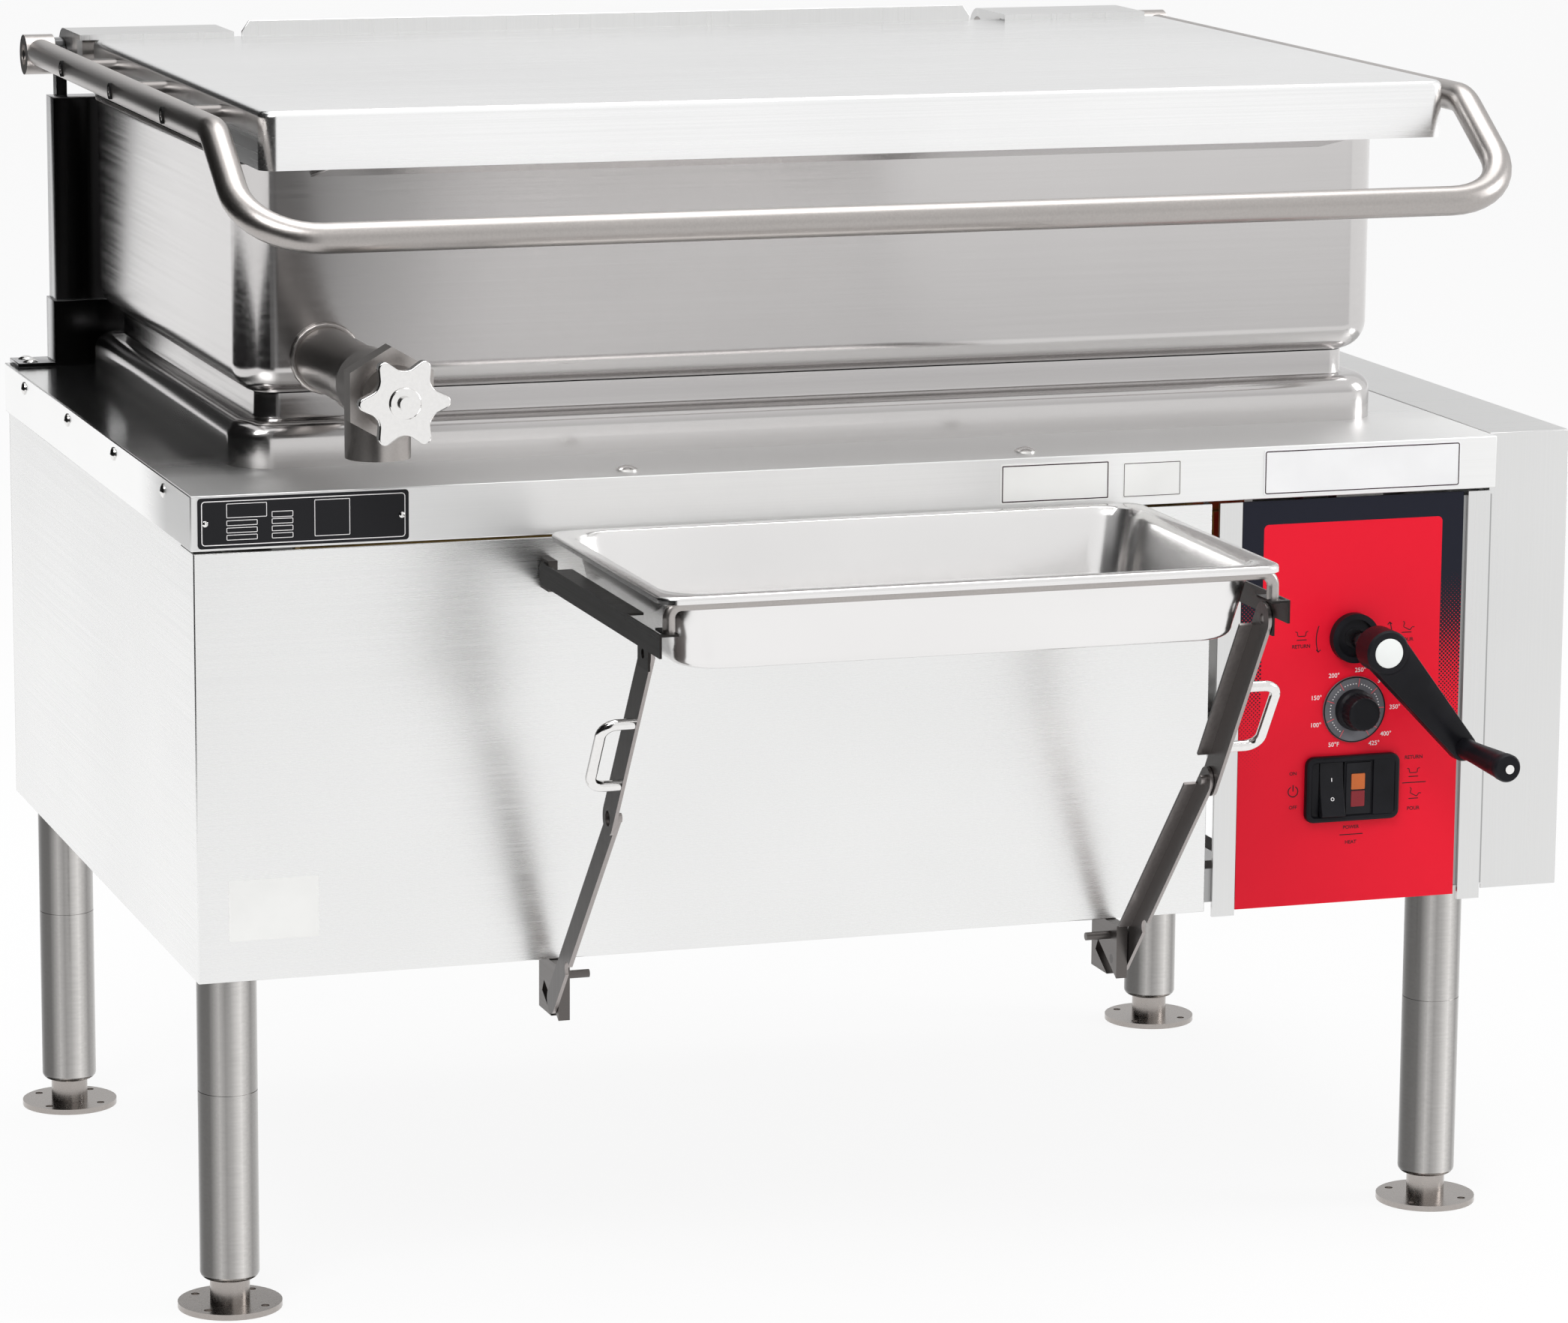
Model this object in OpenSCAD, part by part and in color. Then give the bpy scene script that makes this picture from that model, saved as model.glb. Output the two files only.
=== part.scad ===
/* [Overall] */
// Overall width over the deck and the side box
overall_w = 1246; // [1180:1:1320]
// Depth of the deck, front apron to rear apron
deck_d = 790; // [760:1:840]
// Height of the deck top above the floor
deck_z = 709; // [690:1:740]
// Clear height under the cabinet
leg_clear_h = 298; // [270:1:310]
// Width of the fixed side box at the right
side_box_w = 76; // [60:1:90]
// Setback of the side box front from the deck front
side_box_setback = 16; // [8:1:30]
/* [Deck and pan] */
// Height of the deck apron
apron_h = 46; // [40:1:52]
// Sheet thickness of the deck
deck_t = 2; // [1.5:0.1:3]
// Outer width of the pan
pan_w = 1034; // [980:1:1040]
// Outer depth of the pan
pan_d = 596; // [560:1:610]
// Height of the pan, bottom to rim
pan_h = 198; // [150:1:200]
// Wall thickness of the pan
pan_t = 3; // [2:0.1:5]
// Corner radius of the pan walls
pan_corner_r = 34; // [20:1:50]
// Distance from the deck front to the pan wall
pan_setback = 120; // [105:1:130]
// Distance from the deck left edge to the pan wall
pan_side_gap = 71; // [62:1:80]
// Largest tilt of the pan in degrees
tilt_max = 74; // [40:1:74]
/* [Lid] */
// Setback of the lid front edge from the deck front
lid_setback = 44; // [38:1:50]
// Height of the lid hem above the deck
lid_lift = 259; // [255:1:270]
// Width of the lid
lid_w = 1058; // [1000:1:1060]
// Depth of the lid
lid_d = 678; // [660:1:684]
// Height of the lid skirt
lid_h = 49; // [40:1:60]
// Sheet thickness of the lid
lid_t = 2; // [1.5:0.1:3]
// Diameter of the lid handle tube
handle_d = 25.4; // [20:0.1:30]
// Distance from the left handle run to the lid side
handle_offset = 38; // [34:1:42]
// Distance from the right handle run to the lid side
handle_right_offset = 18; // [16:1:24]
/* [Legs] */
// Diameter of the leg tubes
leg_d = 50.8; // [38:0.1:54]
// Diameter of the foot flanges
foot_flange_d = 89; // [80:1:100]
// Distance of the leg axes from the deck sides
leg_inset_x = 40; // [36:1:50]
// Distance of the front leg axes from the deck front
leg_inset_y = 63; // [60:1:75]
/* [Pouring tray and its holder] */
// Length of the removable tray over its rim
tray_l = 527; // [500:1:530]
// Width of the removable tray over its rim
tray_w = 324; // [300:1:326]
// Depth of the removable tray
tray_h = 65; // [50:1:65]
// Position of the tray left end from the middle of the unit
tray_x = -324; // [-330:1:-318]
/* [Draw-off valve] */
// Outer diameter of the valve pipe
valve_pipe_d = 53; // [45:1:58]
// Reach of the valve spout from the pan wall
valve_reach = 175; // [165:1:185]
// Number of points on the star knob
knob_points = 6; // [5:1:8]
/* [Controls] */
// Width of the control panel
control_w = 209; // [200:1:215]
// Distance of the crank axis below the deck top
crank_drop = 173; // [165:1:180]
// Radius of the crank
crank_r = 117; // [90:1:125]
// Number of crank turns for the full tilt
crank_turns = 12; // [8:1:14]
/* [Hidden] */
fine_fn = 96;
mid_fn = 48;
hull_fn = 32;
overrun = 1;
seat_gap = 0.3;
skin_gap = 1;
run_gap = 0.05;
panel_t = 1.5;
x_left = -overall_w / 2;
x_right = overall_w / 2;
seam_x = x_right - side_box_w;
deck_right = seam_x - skin_gap;
apron_z = deck_z - apron_h;
// The pan and the deck swing on two pins close behind the front apron
pivot_inset = 12;
pivot_drop = 14;
pivot_y = pivot_inset;
pivot_z = deck_z - pivot_drop;
pivot_pin_r = 6;
pivot_lug_r = 9.4;
pivot_lug_t = 10;
pivot_inset_x = 30;
pivot_xs = [x_left + leg_inset_x + pivot_inset_x, deck_right - leg_inset_x - pivot_inset_x];
apron_swing_r = sqrt(pow(pivot_y, 2) + pow(pivot_z - apron_z, 2));
panel_top_z = pivot_z - apron_swing_r - seat_gap;
panel_y = deck_t + skin_gap;
back_y = deck_d - deck_t - skin_gap;
panel_x = x_left + deck_t + skin_gap;
deck_clear = 16;
inner_top_z = deck_z - deck_t - deck_clear;
// Base frame
rail = 30;
rail_t = 2.5;
base_lift = 3;
base_z = leg_clear_h + base_lift;
base_plate_t = 5;
base_plate_w = 84;
leg_x0 = x_left + leg_inset_x;
leg_right_share = 0.5;
leg_rear_share = 0.8;
leg_x1 = deck_right - leg_inset_x * leg_right_share;
leg_y0 = leg_inset_y;
leg_y1 = deck_d - leg_inset_y * leg_rear_share;
leg_xs = [leg_x0, leg_x1];
leg_ys = [leg_y0, leg_y1];
frame_x0 = panel_x + panel_t + skin_gap;
frame_x1 = deck_right - skin_gap;
frame_y0 = panel_y + panel_t + skin_gap;
frame_y1 = back_y - panel_t - skin_gap;
// Feet
foot_flange_t = 5;
foot_neck_h = 26;
foot_neck_d = 34;
foot_hole_r = 3.6;
foot_hole_pcd = 70;
leg_end_r = 6;
leg_seam_h = 190;
leg_seam_depth = 0.6;
// Pan, skirt and heat chamber
pan_x0 = x_left + pan_side_gap;
pan_x1 = pan_x0 + pan_w;
pan_y0 = pan_setback;
pan_y1 = pan_y0 + pan_d;
lid_gap = 0.6;
hinge_back = 5;
lid_z0 = deck_z + lid_lift;
rim_t = 2;
rim_z = lid_z0 - lid_gap;
pan_z0 = rim_z - pan_h;
pan_edge_r = 26;
rim_flange = 10;
lip_reach = 58;
lip_drop = 12;
skirt_h = 24;
skirt_edge_r = 15;
skirt_margin = 5;
neck_inset = 20;
neck_t = 3;
base_plate_inset = 46;
clad_t = 12;
throat_gap = 4;
neck_corner_r = 20.4;
rim_corner_r = 17;
// Lid and its hinge
lid_inset = 2;
lid_x0 = pan_x0 + lid_inset;
lid_x1 = lid_x0 + lid_w;
lid_y0 = lid_setback;
lid_y1 = lid_y0 + lid_d;
lid_z1 = lid_z0 + lid_h;
lid_corner_r = 14;
lid_edge_r = 6;
hinge_y = deck_d - hinge_back;
hinge_drop = 19;
hinge_z = lid_z1 - hinge_drop;
hinge_shaft_r = 10;
barrel_r = 15.5;
sleeve_r = 24;
sleeve_t = 2;
sleeve_w = 145;
sleeve_overhang = 13;
sleeve_inset = 19;
sleeve_x0 = lid_x0 - sleeve_overhang;
sleeve_x1 = lid_x1 - sleeve_w - sleeve_inset;
ear_t = 10;
ear_x0 = sleeve_x0 - seat_gap - ear_t;
ear_x1 = sleeve_x1 + sleeve_w + seat_gap;
stub_w = 27;
stub_right_w = 39;
stub_r = 18.5;
stub_x0 = ear_x0 - seat_gap - stub_w;
stub_x1 = ear_x1 + ear_t + seat_gap;
upstand_h = 14;
upstand_margin = 10;
upstand_right_margin = 32;
// Hinge posts stand on the rear corners of the deck
post_w = 48;
post_d = 34;
post_t = 4;
post_top_gap = 8;
foot_bracket_h = 62;
foot_bracket_t = 3;
foot_wing = 20;
base_tab_w = 38;
base_tab_d = 38.4;
base_tab_t = 4;
// Lid handle
handle_r = handle_d / 2;
handle_xs = [lid_x0 - handle_offset, lid_x1 + handle_right_offset];
handle_rise = 3;
handle_drop = 42;
handle_bend_in = 5;
handle_z = hinge_z + handle_rise;
handle_front_y = -68;
handle_front_z = lid_z0 - handle_drop;
handle_bend_y = lid_y0 + handle_bend_in;
handle_bend_r = 45;
handle_corner_r = 62;
standoff_r = 8;
bolt_shares = [0.2153, 0.5251, 0.8348];
// Tray and holder geometry
tray_drop = 40;
tray_rim_z = deck_z - tray_drop;
tray_back_y = -13;
tray_front_y = tray_back_y - tray_w;
tray_x1 = tray_x + tray_l;
tray_rim = 12.5;
tray_rim_h = 6;
tray_lip_t = 1.5;
tray_t = 1;
tray_corner_r = 36;
tray_taper = 12;
tray_floor_r = 12;
tray_floor_in = 8;
tray_rim_share = 0.45;
angle_t = 2;
angle_gap = 1;
angle_h = 19;
angle_flange = 16;
rod_r = 5;
holder_y = -8;
holder_drop = 37;
holder_z = tray_rim_z - holder_drop;
holder_pin_r = 4;
grip_y = -296;
grip_drop = 14;
grip_z = holder_z - grip_drop;
foot_pin_y = -12;
foot_pin_drop = 32;
foot_pin_z = leg_clear_h - foot_pin_drop;
// The two arms are a little longer than the straight distance, so they lock past centre
lower_share = 0.58768;
upper_share = 0.415;
arm_reach = norm([grip_y - foot_pin_y, grip_z - foot_pin_z]);
arm_way = [grip_y - foot_pin_y, grip_z - foot_pin_z] / arm_reach;
lower_l = arm_reach * lower_share;
upper_l = arm_reach * upper_share;
arm_along = (pow(lower_l, 2) - pow(upper_l, 2) + pow(arm_reach, 2)) / (2 * arm_reach);
arm_bow = sqrt(pow(lower_l, 2) - pow(arm_along, 2));
knuckle_y = foot_pin_y + arm_along * arm_way[0] - arm_bow * arm_way[1];
knuckle_z = foot_pin_z + arm_along * arm_way[1] + arm_bow * arm_way[0];
upper_w = 28;
lower_w = 22;
arm_t = 3;
arm_gap = 0.5;
arm_flange = 14;
pull_len = 70;
pull_r = 4.5;
pull_out = 26;
tray_mid_x = tray_x + tray_l / 2;
angle_out = tray_l / 2 + angle_gap + angle_t;
upper_out = angle_out - angle_t - arm_gap;
lower_out = upper_out - arm_t - arm_gap;
// Tilt drive: the crank turns a shaft into the gearbox of a screw jack
control_margin = 29;
crank_inset = 103;
panel_x1 = deck_right - control_margin;
panel_x0 = panel_x1 - control_w;
crank_x = panel_x1 - crank_inset;
crank_z = deck_z - crank_drop;
crank_shaft_r = 9;
crank_hub_r = 17;
crank_hub_y = -48;
crank_hub_l = 28;
crank_angle = -49.5;
grip_r = 11;
grip_l = 88;
jack_y = 155;
jack_r = 12;
jack_box = [84, 84, 78];
jack_tube_r = 22;
jack_pin_r = 8;
jack_arm = jack_y - pivot_y;
cam_angle = 35;
jack_pin_z = pivot_z - jack_arm * tan(cam_angle);
jack_travel = jack_arm * (tan(cam_angle) + tan(tilt_max - cam_angle));
jack_tail_gap = 45;
jack_low_z = leg_clear_h + jack_tail_gap;
cam_t = 8;
cam_gap = 2;
eye_t = 20;
cam_rib = 16;
// Controls
control_t = 2;
dial_offset = 1;
dial_drop = 64;
dial_x = crank_x + dial_offset;
dial_z = crank_z - dial_drop;
dial_r = 24;
dial_knob_r = 15;
switch_w = 91;
switch_h = 69;
switch_left = 44;
switch_drop = 37;
switch_x0 = dial_x - switch_left;
switch_x1 = switch_x0 + switch_w;
switch_z1 = dial_z - switch_drop;
switch_z0 = switch_z1 - switch_h;
switch_t = 7;
rocker_w = 26;
rocker_h = 40;
rocker_tilt = 10;
lens_w = 15;
lens_h = 32;
// Draw-off valve
valve_inset = 73;
valve_rise = 92;
valve_wall = 5;
valve_x = pan_x0 + valve_inset;
valve_z = deck_z + valve_rise;
valve_r = valve_pipe_d / 2;
valve_bore_r = valve_r - valve_wall;
spout_y = pan_y0 - valve_reach;
spout_r = 27;
spout_bore_r = 22;
spout_drop = 57;
hex_r = 40;
hex_l = 20;
stem_r = 6;
valve_travel = 12;
knob_r = 38;
knob_t = 9;
knob_lead = 4;
// Heating
burner_r = 12;
burner_count = 6;
heat_left_inset = 50;
heat_right_gap = 62;
heat_front_inset = 30;
heat_rear_inset = 20;
heat_drop = 130;
burner_rise = 50;
manifold_gap = 22;
heat_x0 = pan_x0 + heat_left_inset;
heat_x1 = crank_x - heat_right_gap;
heat_y0 = pan_y0 + heat_front_inset;
heat_y1 = pan_y1 - heat_rear_inset;
heat_z0 = deck_z - heat_drop;
heat_t = 3;
burner_z = heat_z0 + burner_rise;
manifold_r = 13;
manifold_y = heat_y0 - manifold_gap;
// The rest position is centred on the floor below the outermost edges
rear_y = hinge_y + sleeve_r;
mid_y = (tray_front_y + rear_y) / 2;
screw_h = 3;
mid_x = (min(x_left - screw_h, leg_x0 - foot_flange_d / 2) + x_right) / 2;
module placed() {
    translate([-mid_x, -mid_y, 0]) children();
}
module block(a, b) {
    translate(a) cube(b - a);
}
module bar_x(x0, x1, y, z, r) {
    translate([x0, y, z]) rotate([0, 90, 0]) cylinder(r = r, h = x1 - x0, $fn = mid_fn);
}
module bar_y(x, y0, y1, z, r) {
    translate([x, y1, z]) rotate([90, 0, 0]) cylinder(r = r, h = y1 - y0, $fn = mid_fn);
}
module bar_z(x, y, z0, z1, r) {
    translate([x, y, z0]) cylinder(r = r, h = z1 - z0, $fn = mid_fn);
}
// Straight bar between two points that lie in one plane square to X
module bar_yz(x, a, b, r) {
    run = [b[0] - a[0], b[1] - a[1]];
    translate([x, a[0], a[1]]) rotate([atan2(run[1], run[0]) - 90, 0, 0])
        cylinder(r = r, h = norm(run), $fn = mid_fn);
}
// Box frame of square tube, open inside
module tube_x(x0, x1, y, z) {
    difference() {
        block([x0, y, z], [x1, y + rail, z + rail]);
        block([x0 - overrun, y + rail_t, z + rail_t],
              [x1 + overrun, y + rail - rail_t, z + rail - rail_t]);
    }
}
module tube_y(y0, y1, x, z) {
    difference() {
        block([x, y0, z], [x + rail, y1, z + rail]);
        block([x + rail_t, y0 - overrun, z + rail_t],
              [x + rail - rail_t, y1 + overrun, z + rail - rail_t]);
    }
}
// Flat outline with round corners
module rounded(a, b, r) {
    translate([a[0] + r, a[1]]) square([b[0] - a[0] - 2 * r, b[1] - a[1]]);
    translate([a[0], a[1] + r]) square([b[0] - a[0], b[1] - a[1] - 2 * r]);
    for (x = [a[0] + r, b[0] - r], y = [a[1] + r, b[1] - r])
        translate([x, y]) circle(r = r, $fn = mid_fn);
}
thin = 0.1;
// Solid ring corner: a round post whose outer edge is rounded over its upper end
module edge_corner(r, e) {
    rotate_extrude($fn = fine_fn) {
        square([r - e, e]);
        translate([r - e, 0]) intersection() {
            circle(r = e, $fn = fine_fn);
            square(e);
        }
    }
}
// Box with round corners and a round top edge
module soft_top(a, b, z0, z1, r, e) {
    translate([0, 0, z0]) linear_extrude(z1 - e - z0) rounded(a, b, r);
    translate([0, 0, z1 - e]) {
        for (x = [a[0] + r, b[0] - r], y = [a[1] + r, b[1] - r])
            translate([x, y]) edge_corner(r, e);
        linear_extrude(e) {
            translate([a[0] + r, a[1] + e]) square([b[0] - a[0] - 2 * r, b[1] - a[1] - 2 * e]);
            translate([a[0] + e, a[1] + r]) square([b[0] - a[0] - 2 * e, b[1] - a[1] - 2 * r]);
        }
    }
    for (y = [a[1] + e, b[1] - e]) bar_x(a[0] + r, b[0] - r, y, z1 - e, e);
    for (x = [a[0] + e, b[0] - e]) bar_y(x, a[1] + r, b[1] - r, z1 - e, e);
}
// The same box turned over: round corners and a round bottom edge
module soft_bottom(a, b, z0, z1, r, e) {
    translate([0, 0, z0 + z1]) mirror([0, 0, 1]) soft_top(a, b, z0, z1, r, e);
}
// Thin slice of a box with round corners, for a hull
module slice(a, b, r, inset, z, t) {
    translate([0, 0, z]) linear_extrude(t)
        for (x = [a[0] + r, b[0] - r], y = [a[1] + r, b[1] - r])
            translate([x, y]) circle(r = r - inset, $fn = hull_fn);
}
function unit(v) = v / norm(v);
// Rigid frame with its Z axis along d and its X axis along u
module aligned(p, u, v, d) {
    multmatrix([
        [u[0], v[0], d[0], p[0]],
        [u[1], v[1], d[1], p[1]],
        [u[2], v[2], d[2], p[2]],
        [0, 0, 0, 1]
    ]) children();
}
// Round tube of radius r along the points, with a bend radius at each corner
module bent_bar(points, bends, r) {
    last = len(points) - 1;
    cut = [for (i = [0 : last]) (i == 0 || i == last) ? 0 :
        let (a = unit(points[i] - points[i - 1]), b = unit(points[i + 1] - points[i]))
            bends[i] * tan(acos(a * b) / 2)];
    for (i = [0 : last - 1]) {
        d = unit(points[i + 1] - points[i]);
        side = abs(d[0]) > 0.9 ? [0, 0, 1] : [1, 0, 0];
        v = unit(cross(d, side));
        u = cross(v, d);
        run = norm(points[i + 1] - points[i]) - cut[i] - cut[i + 1];
        aligned(points[i] + d * cut[i], u, v, d) cylinder(r = r, h = run, $fn = mid_fn);
    }
    for (i = [1 : last - 1]) {
        a = unit(points[i] - points[i - 1]);
        b = unit(points[i + 1] - points[i]);
        turn = acos(a * b);
        axis = unit(cross(a, b));
        inward = cross(axis, a);
        start = points[i] - a * cut[i];
        aligned(start + inward * bends[i], -inward, a, axis)
            rotate_extrude(angle = turn, $fn = fine_fn)
                translate([bends[i], 0]) circle(r = r, $fn = mid_fn);
    }
}

module base_frame() {
    color("silver") {
        for (y = [frame_y0, frame_y1 - rail]) tube_x(frame_x0, frame_x1, y, base_z + base_plate_t);
        for (x = [frame_x0, frame_x1 - rail])
            tube_y(frame_y0 + rail, frame_y1 - rail, x, base_z + base_plate_t);
        for (x = leg_xs, y = leg_ys)
            translate([x, y, base_z]) linear_extrude(base_plate_t)
                intersection() {
                    translate([-base_plate_w / 2, -base_plate_w / 2]) square(base_plate_w);
                    translate([frame_x0 - x, frame_y0 - y])
                        square([frame_x1 - frame_x0, frame_y1 - frame_y0]);
                }
    }
}
post_z0 = base_z + base_plate_t + rail;
post_gap = 4;
post_z1 = panel_top_z - post_gap;
module corner_posts() {
    color("silver")
        for (x = [frame_x0, frame_x1 - rail], y = [frame_y0, frame_y1 - rail])
            difference() {
                block([x, y, post_z0], [x + rail, y + rail, post_z1]);
                block([x + rail_t, y + rail_t, post_z0 - overrun],
                      [x + rail - rail_t, y + rail - rail_t, post_z1 + overrun]);
            }
}
module leg_tubes() {
    color("silver")
        for (x = leg_xs, y = leg_ys)
            translate([x, y, 0]) rotate_extrude($fn = fine_fn)
                difference() {
                    union() {
                        translate([0, foot_neck_h + leg_end_r])
                            square([leg_d / 2, base_z - foot_neck_h - leg_end_r]);
                        translate([0, foot_neck_h]) square([leg_d / 2 - leg_end_r, leg_end_r * 2]);
                        translate([leg_d / 2 - leg_end_r, foot_neck_h + leg_end_r])
                            circle(r = leg_end_r, $fn = mid_fn);
                    }
                    translate([leg_d / 2 - leg_seam_depth, leg_seam_h])
                        square([leg_seam_depth + overrun, leg_seam_depth]);
                    translate([-leg_d, foot_neck_h - overrun]) square([leg_d, base_z + overrun]);
                }
}
module flanged_feet() {
    color("silver")
        for (x = leg_xs, y = leg_ys)
            translate([x, y, 0])
                difference() {
                    union() {
                        cylinder(d = foot_flange_d, h = foot_flange_t, $fn = fine_fn);
                        cylinder(d = foot_neck_d, h = foot_neck_h, $fn = mid_fn);
                    }
                    for (i = [0 : 3])
                        rotate([0, 0, 45 + 90 * i]) translate([foot_hole_pcd / 2, 0, -overrun])
                            cylinder(r = foot_hole_r, h = foot_flange_t + 2 * overrun, $fn = mid_fn);
                }
}
panel_return = 18;
side_return = 8;
pivot_clear = 3;
pivot_clear_y = pivot_y + apron_swing_r + pivot_clear;
module side_panel() {
    color("gainsboro") {
        block([panel_x, panel_y + panel_t, leg_clear_h], [panel_x + panel_t, back_y - panel_t, panel_top_z]);
        block([panel_x, pivot_clear_y, panel_top_z], [panel_x + panel_t, back_y - panel_t, inner_top_z]);
        block([panel_x, panel_y + panel_return + skin_gap, leg_clear_h],
              [panel_x + side_return, frame_y1, leg_clear_h + panel_t]);
    }
}
louvre_count = 7;
louvre_w = 160;
louvre_h = 8;
louvre_pitch = 22;
louvre_rise = 70;
louvre_z0 = deck_z / 2 + louvre_rise;
inlet_x = 180;
inlet_rise = 80;
inlet_z = leg_clear_h + inlet_rise;
inlet_r = 17;
module back_panel() {
    color("gainsboro")
        difference() {
            block([panel_x, back_y - panel_t, leg_clear_h],
                  [deck_right - deck_t - skin_gap, back_y, inner_top_z]);
            for (i = [0 : louvre_count - 1], x = [x_left / 2, 0])
                block([x - louvre_w / 2, back_y - panel_t - overrun, louvre_z0 + i * louvre_pitch],
                      [x + louvre_w / 2, back_y + overrun, louvre_z0 + i * louvre_pitch + louvre_h]);
            translate([inlet_x, back_y + overrun, inlet_z]) rotate([90, 0, 0])
                cylinder(r = inlet_r, h = panel_t + 2 * overrun, $fn = mid_fn);
        }
}
gap_strip = 7;
right_strip = 4;
column_w = 22;
front_x1 = panel_x0 - column_w - gap_strip;
module front_panel() {
    color("gainsboro") {
        block([panel_x, panel_y, leg_clear_h], [front_x1, panel_y + panel_t, panel_top_z]);
        block([panel_x + panel_t + skin_gap, panel_y + panel_t, leg_clear_h],
              [front_x1, panel_y + panel_return, leg_clear_h + panel_t]);
        block([front_x1 - panel_t, panel_y + panel_t, post_z0 + skin_gap],
              [front_x1, panel_y + panel_return, panel_top_z]);
    }
}
module side_box() {
    color("gainsboro")
        difference() {
            block([seam_x, side_box_setback, leg_clear_h], [x_right, back_y, deck_z]);
            block([seam_x + deck_t, side_box_setback + deck_t, leg_clear_h - overrun],
                  [x_right - deck_t, back_y - deck_t, deck_z - deck_t]);
            for (y = leg_ys)
                block([seam_x - overrun, y - leg_d, leg_clear_h - overrun],
                      [seam_x + deck_t + overrun, y + leg_d, base_z + skin_gap]);
        }
    // Spacers that hold the box to the corner posts
    color("gainsboro")
        for (y = [side_box_setback + deck_t, frame_y1 - rail + deck_t], z = [post_z0 + rail, post_z1 - spacer_drop])
            block([frame_x1, y, z], [seam_x, y + rail / 2, z + rail]);
}
column_drop = 5;
spacer_drop = 90;
module trim_columns() {
    color("silver")
        for (x = [panel_x0 - column_w, panel_x1 + right_strip])
            difference() {
                block([x, panel_y - skin_gap, leg_clear_h - column_drop],
                      [x + column_w - skin_gap, frame_y0 - seat_gap, panel_top_z]);
                block([x + panel_t, panel_y - skin_gap + panel_t, leg_clear_h - column_drop - overrun],
                      [x + column_w - skin_gap - panel_t, frame_y0 + overrun, panel_top_z + overrun]);
            }
}
module control_panel() {
    color("crimson")
        difference() {
            union() {
                block([panel_x0, panel_y, leg_clear_h], [panel_x1, panel_y + control_t, panel_top_z]);
                block([panel_x0, panel_y + control_t, leg_clear_h],
                      [panel_x1, panel_y + panel_return, leg_clear_h + control_t]);
            }
            translate([crank_x, panel_y - overrun, crank_z]) rotate([-90, 0, 0])
                cylinder(r = crank_shaft_r + bearing_neck + skin_gap, h = control_t + 2 * overrun, $fn = mid_fn);
            translate([dial_x, panel_y - overrun, dial_z]) rotate([-90, 0, 0])
                cylinder(r = dial_shaft_r + skin_gap, h = control_t + 2 * overrun, $fn = mid_fn);
            block([switch_x0 + switch_rim, panel_y - overrun, switch_z0 + switch_rim],
                  [switch_x1 - switch_rim, panel_y + control_t + overrun, switch_z1 - switch_rim]);
        }
}
heat_leg = 20;
module heat_box() {
    color("darkgray") {
        difference() {
            block([heat_x0, heat_y0, heat_z0], [heat_x1, heat_y1, inner_top_z]);
            block([heat_x0 + heat_t, heat_y0 + heat_t, heat_z0 + heat_t],
                  [heat_x1 - heat_t, heat_y1 - heat_t, inner_top_z + overrun]);
            for (i = [0 : burner_count - 1])
                translate([burner_at(i), heat_y0 - overrun, burner_z]) rotate([-90, 0, 0])
                    cylinder(r = burner_r + skin_gap, h = heat_t + 2 * overrun, $fn = mid_fn);
        }
        for (x = [heat_x0 + heat_leg, heat_x1 - heat_leg * 2]) {
            block([x, frame_y0 + rail, post_z0 - rail], [x + heat_leg, frame_y1 - rail, post_z0]);
            for (y = [heat_y0, heat_y1 - heat_leg])
                block([x, y, post_z0], [x + heat_leg, y + heat_leg, heat_z0]);
        }
    }
}
function burner_at(i) = heat_x0 + (heat_x1 - heat_x0) * (i + 0.5) / burner_count;
burner_tail = 40;
burner_slot = 2;
burner_slots = 9;
module burner_tubes() {
    color("dimgray")
        for (i = [0 : burner_count - 1])
            difference() {
                bar_y(burner_at(i), manifold_y + manifold_r + seat_gap, heat_y1 - burner_tail, burner_z, burner_r);
                bar_y(burner_at(i), manifold_y, heat_y1 - burner_tail - heat_t, burner_z, burner_r - heat_t / 2);
                for (k = [1 : burner_slots])
                    block([burner_at(i) - burner_r / 2,
                           heat_y0 + (heat_y1 - heat_y0) * k / (burner_slots + 2), burner_z],
                          [burner_at(i) + burner_r / 2,
                           heat_y0 + (heat_y1 - heat_y0) * k / (burner_slots + 2) + burner_slot,
                           burner_z + burner_r + overrun]);
            }
}
module gas_manifold() {
    color("goldenrod") {
        bar_x(heat_x0, gas_valve_x0, manifold_y, burner_z, manifold_r);
        bar_z(manifold_stand_x, manifold_y, post_z0 - rail / 2, burner_z, manifold_r * stand_share);
        block([manifold_stand_x - rail, frame_y0 + rail, post_z0 - rail],
              [manifold_stand_x + rail, manifold_y + rail / 2, post_z0 - rail / 2]);
    }
}
stand_share = 0.6;
stand_place_share = 0.4;
manifold_stand_x = heat_x0 + (heat_x1 - heat_x0) * stand_place_share;
gas_valve_w = 50;
gas_valve_h = 44;
gas_valve_x0 = heat_x1 - gas_valve_w;
gas_pipe_r = 10;
gas_pipe_drop = 30;
gas_bend_r = 24;
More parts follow.
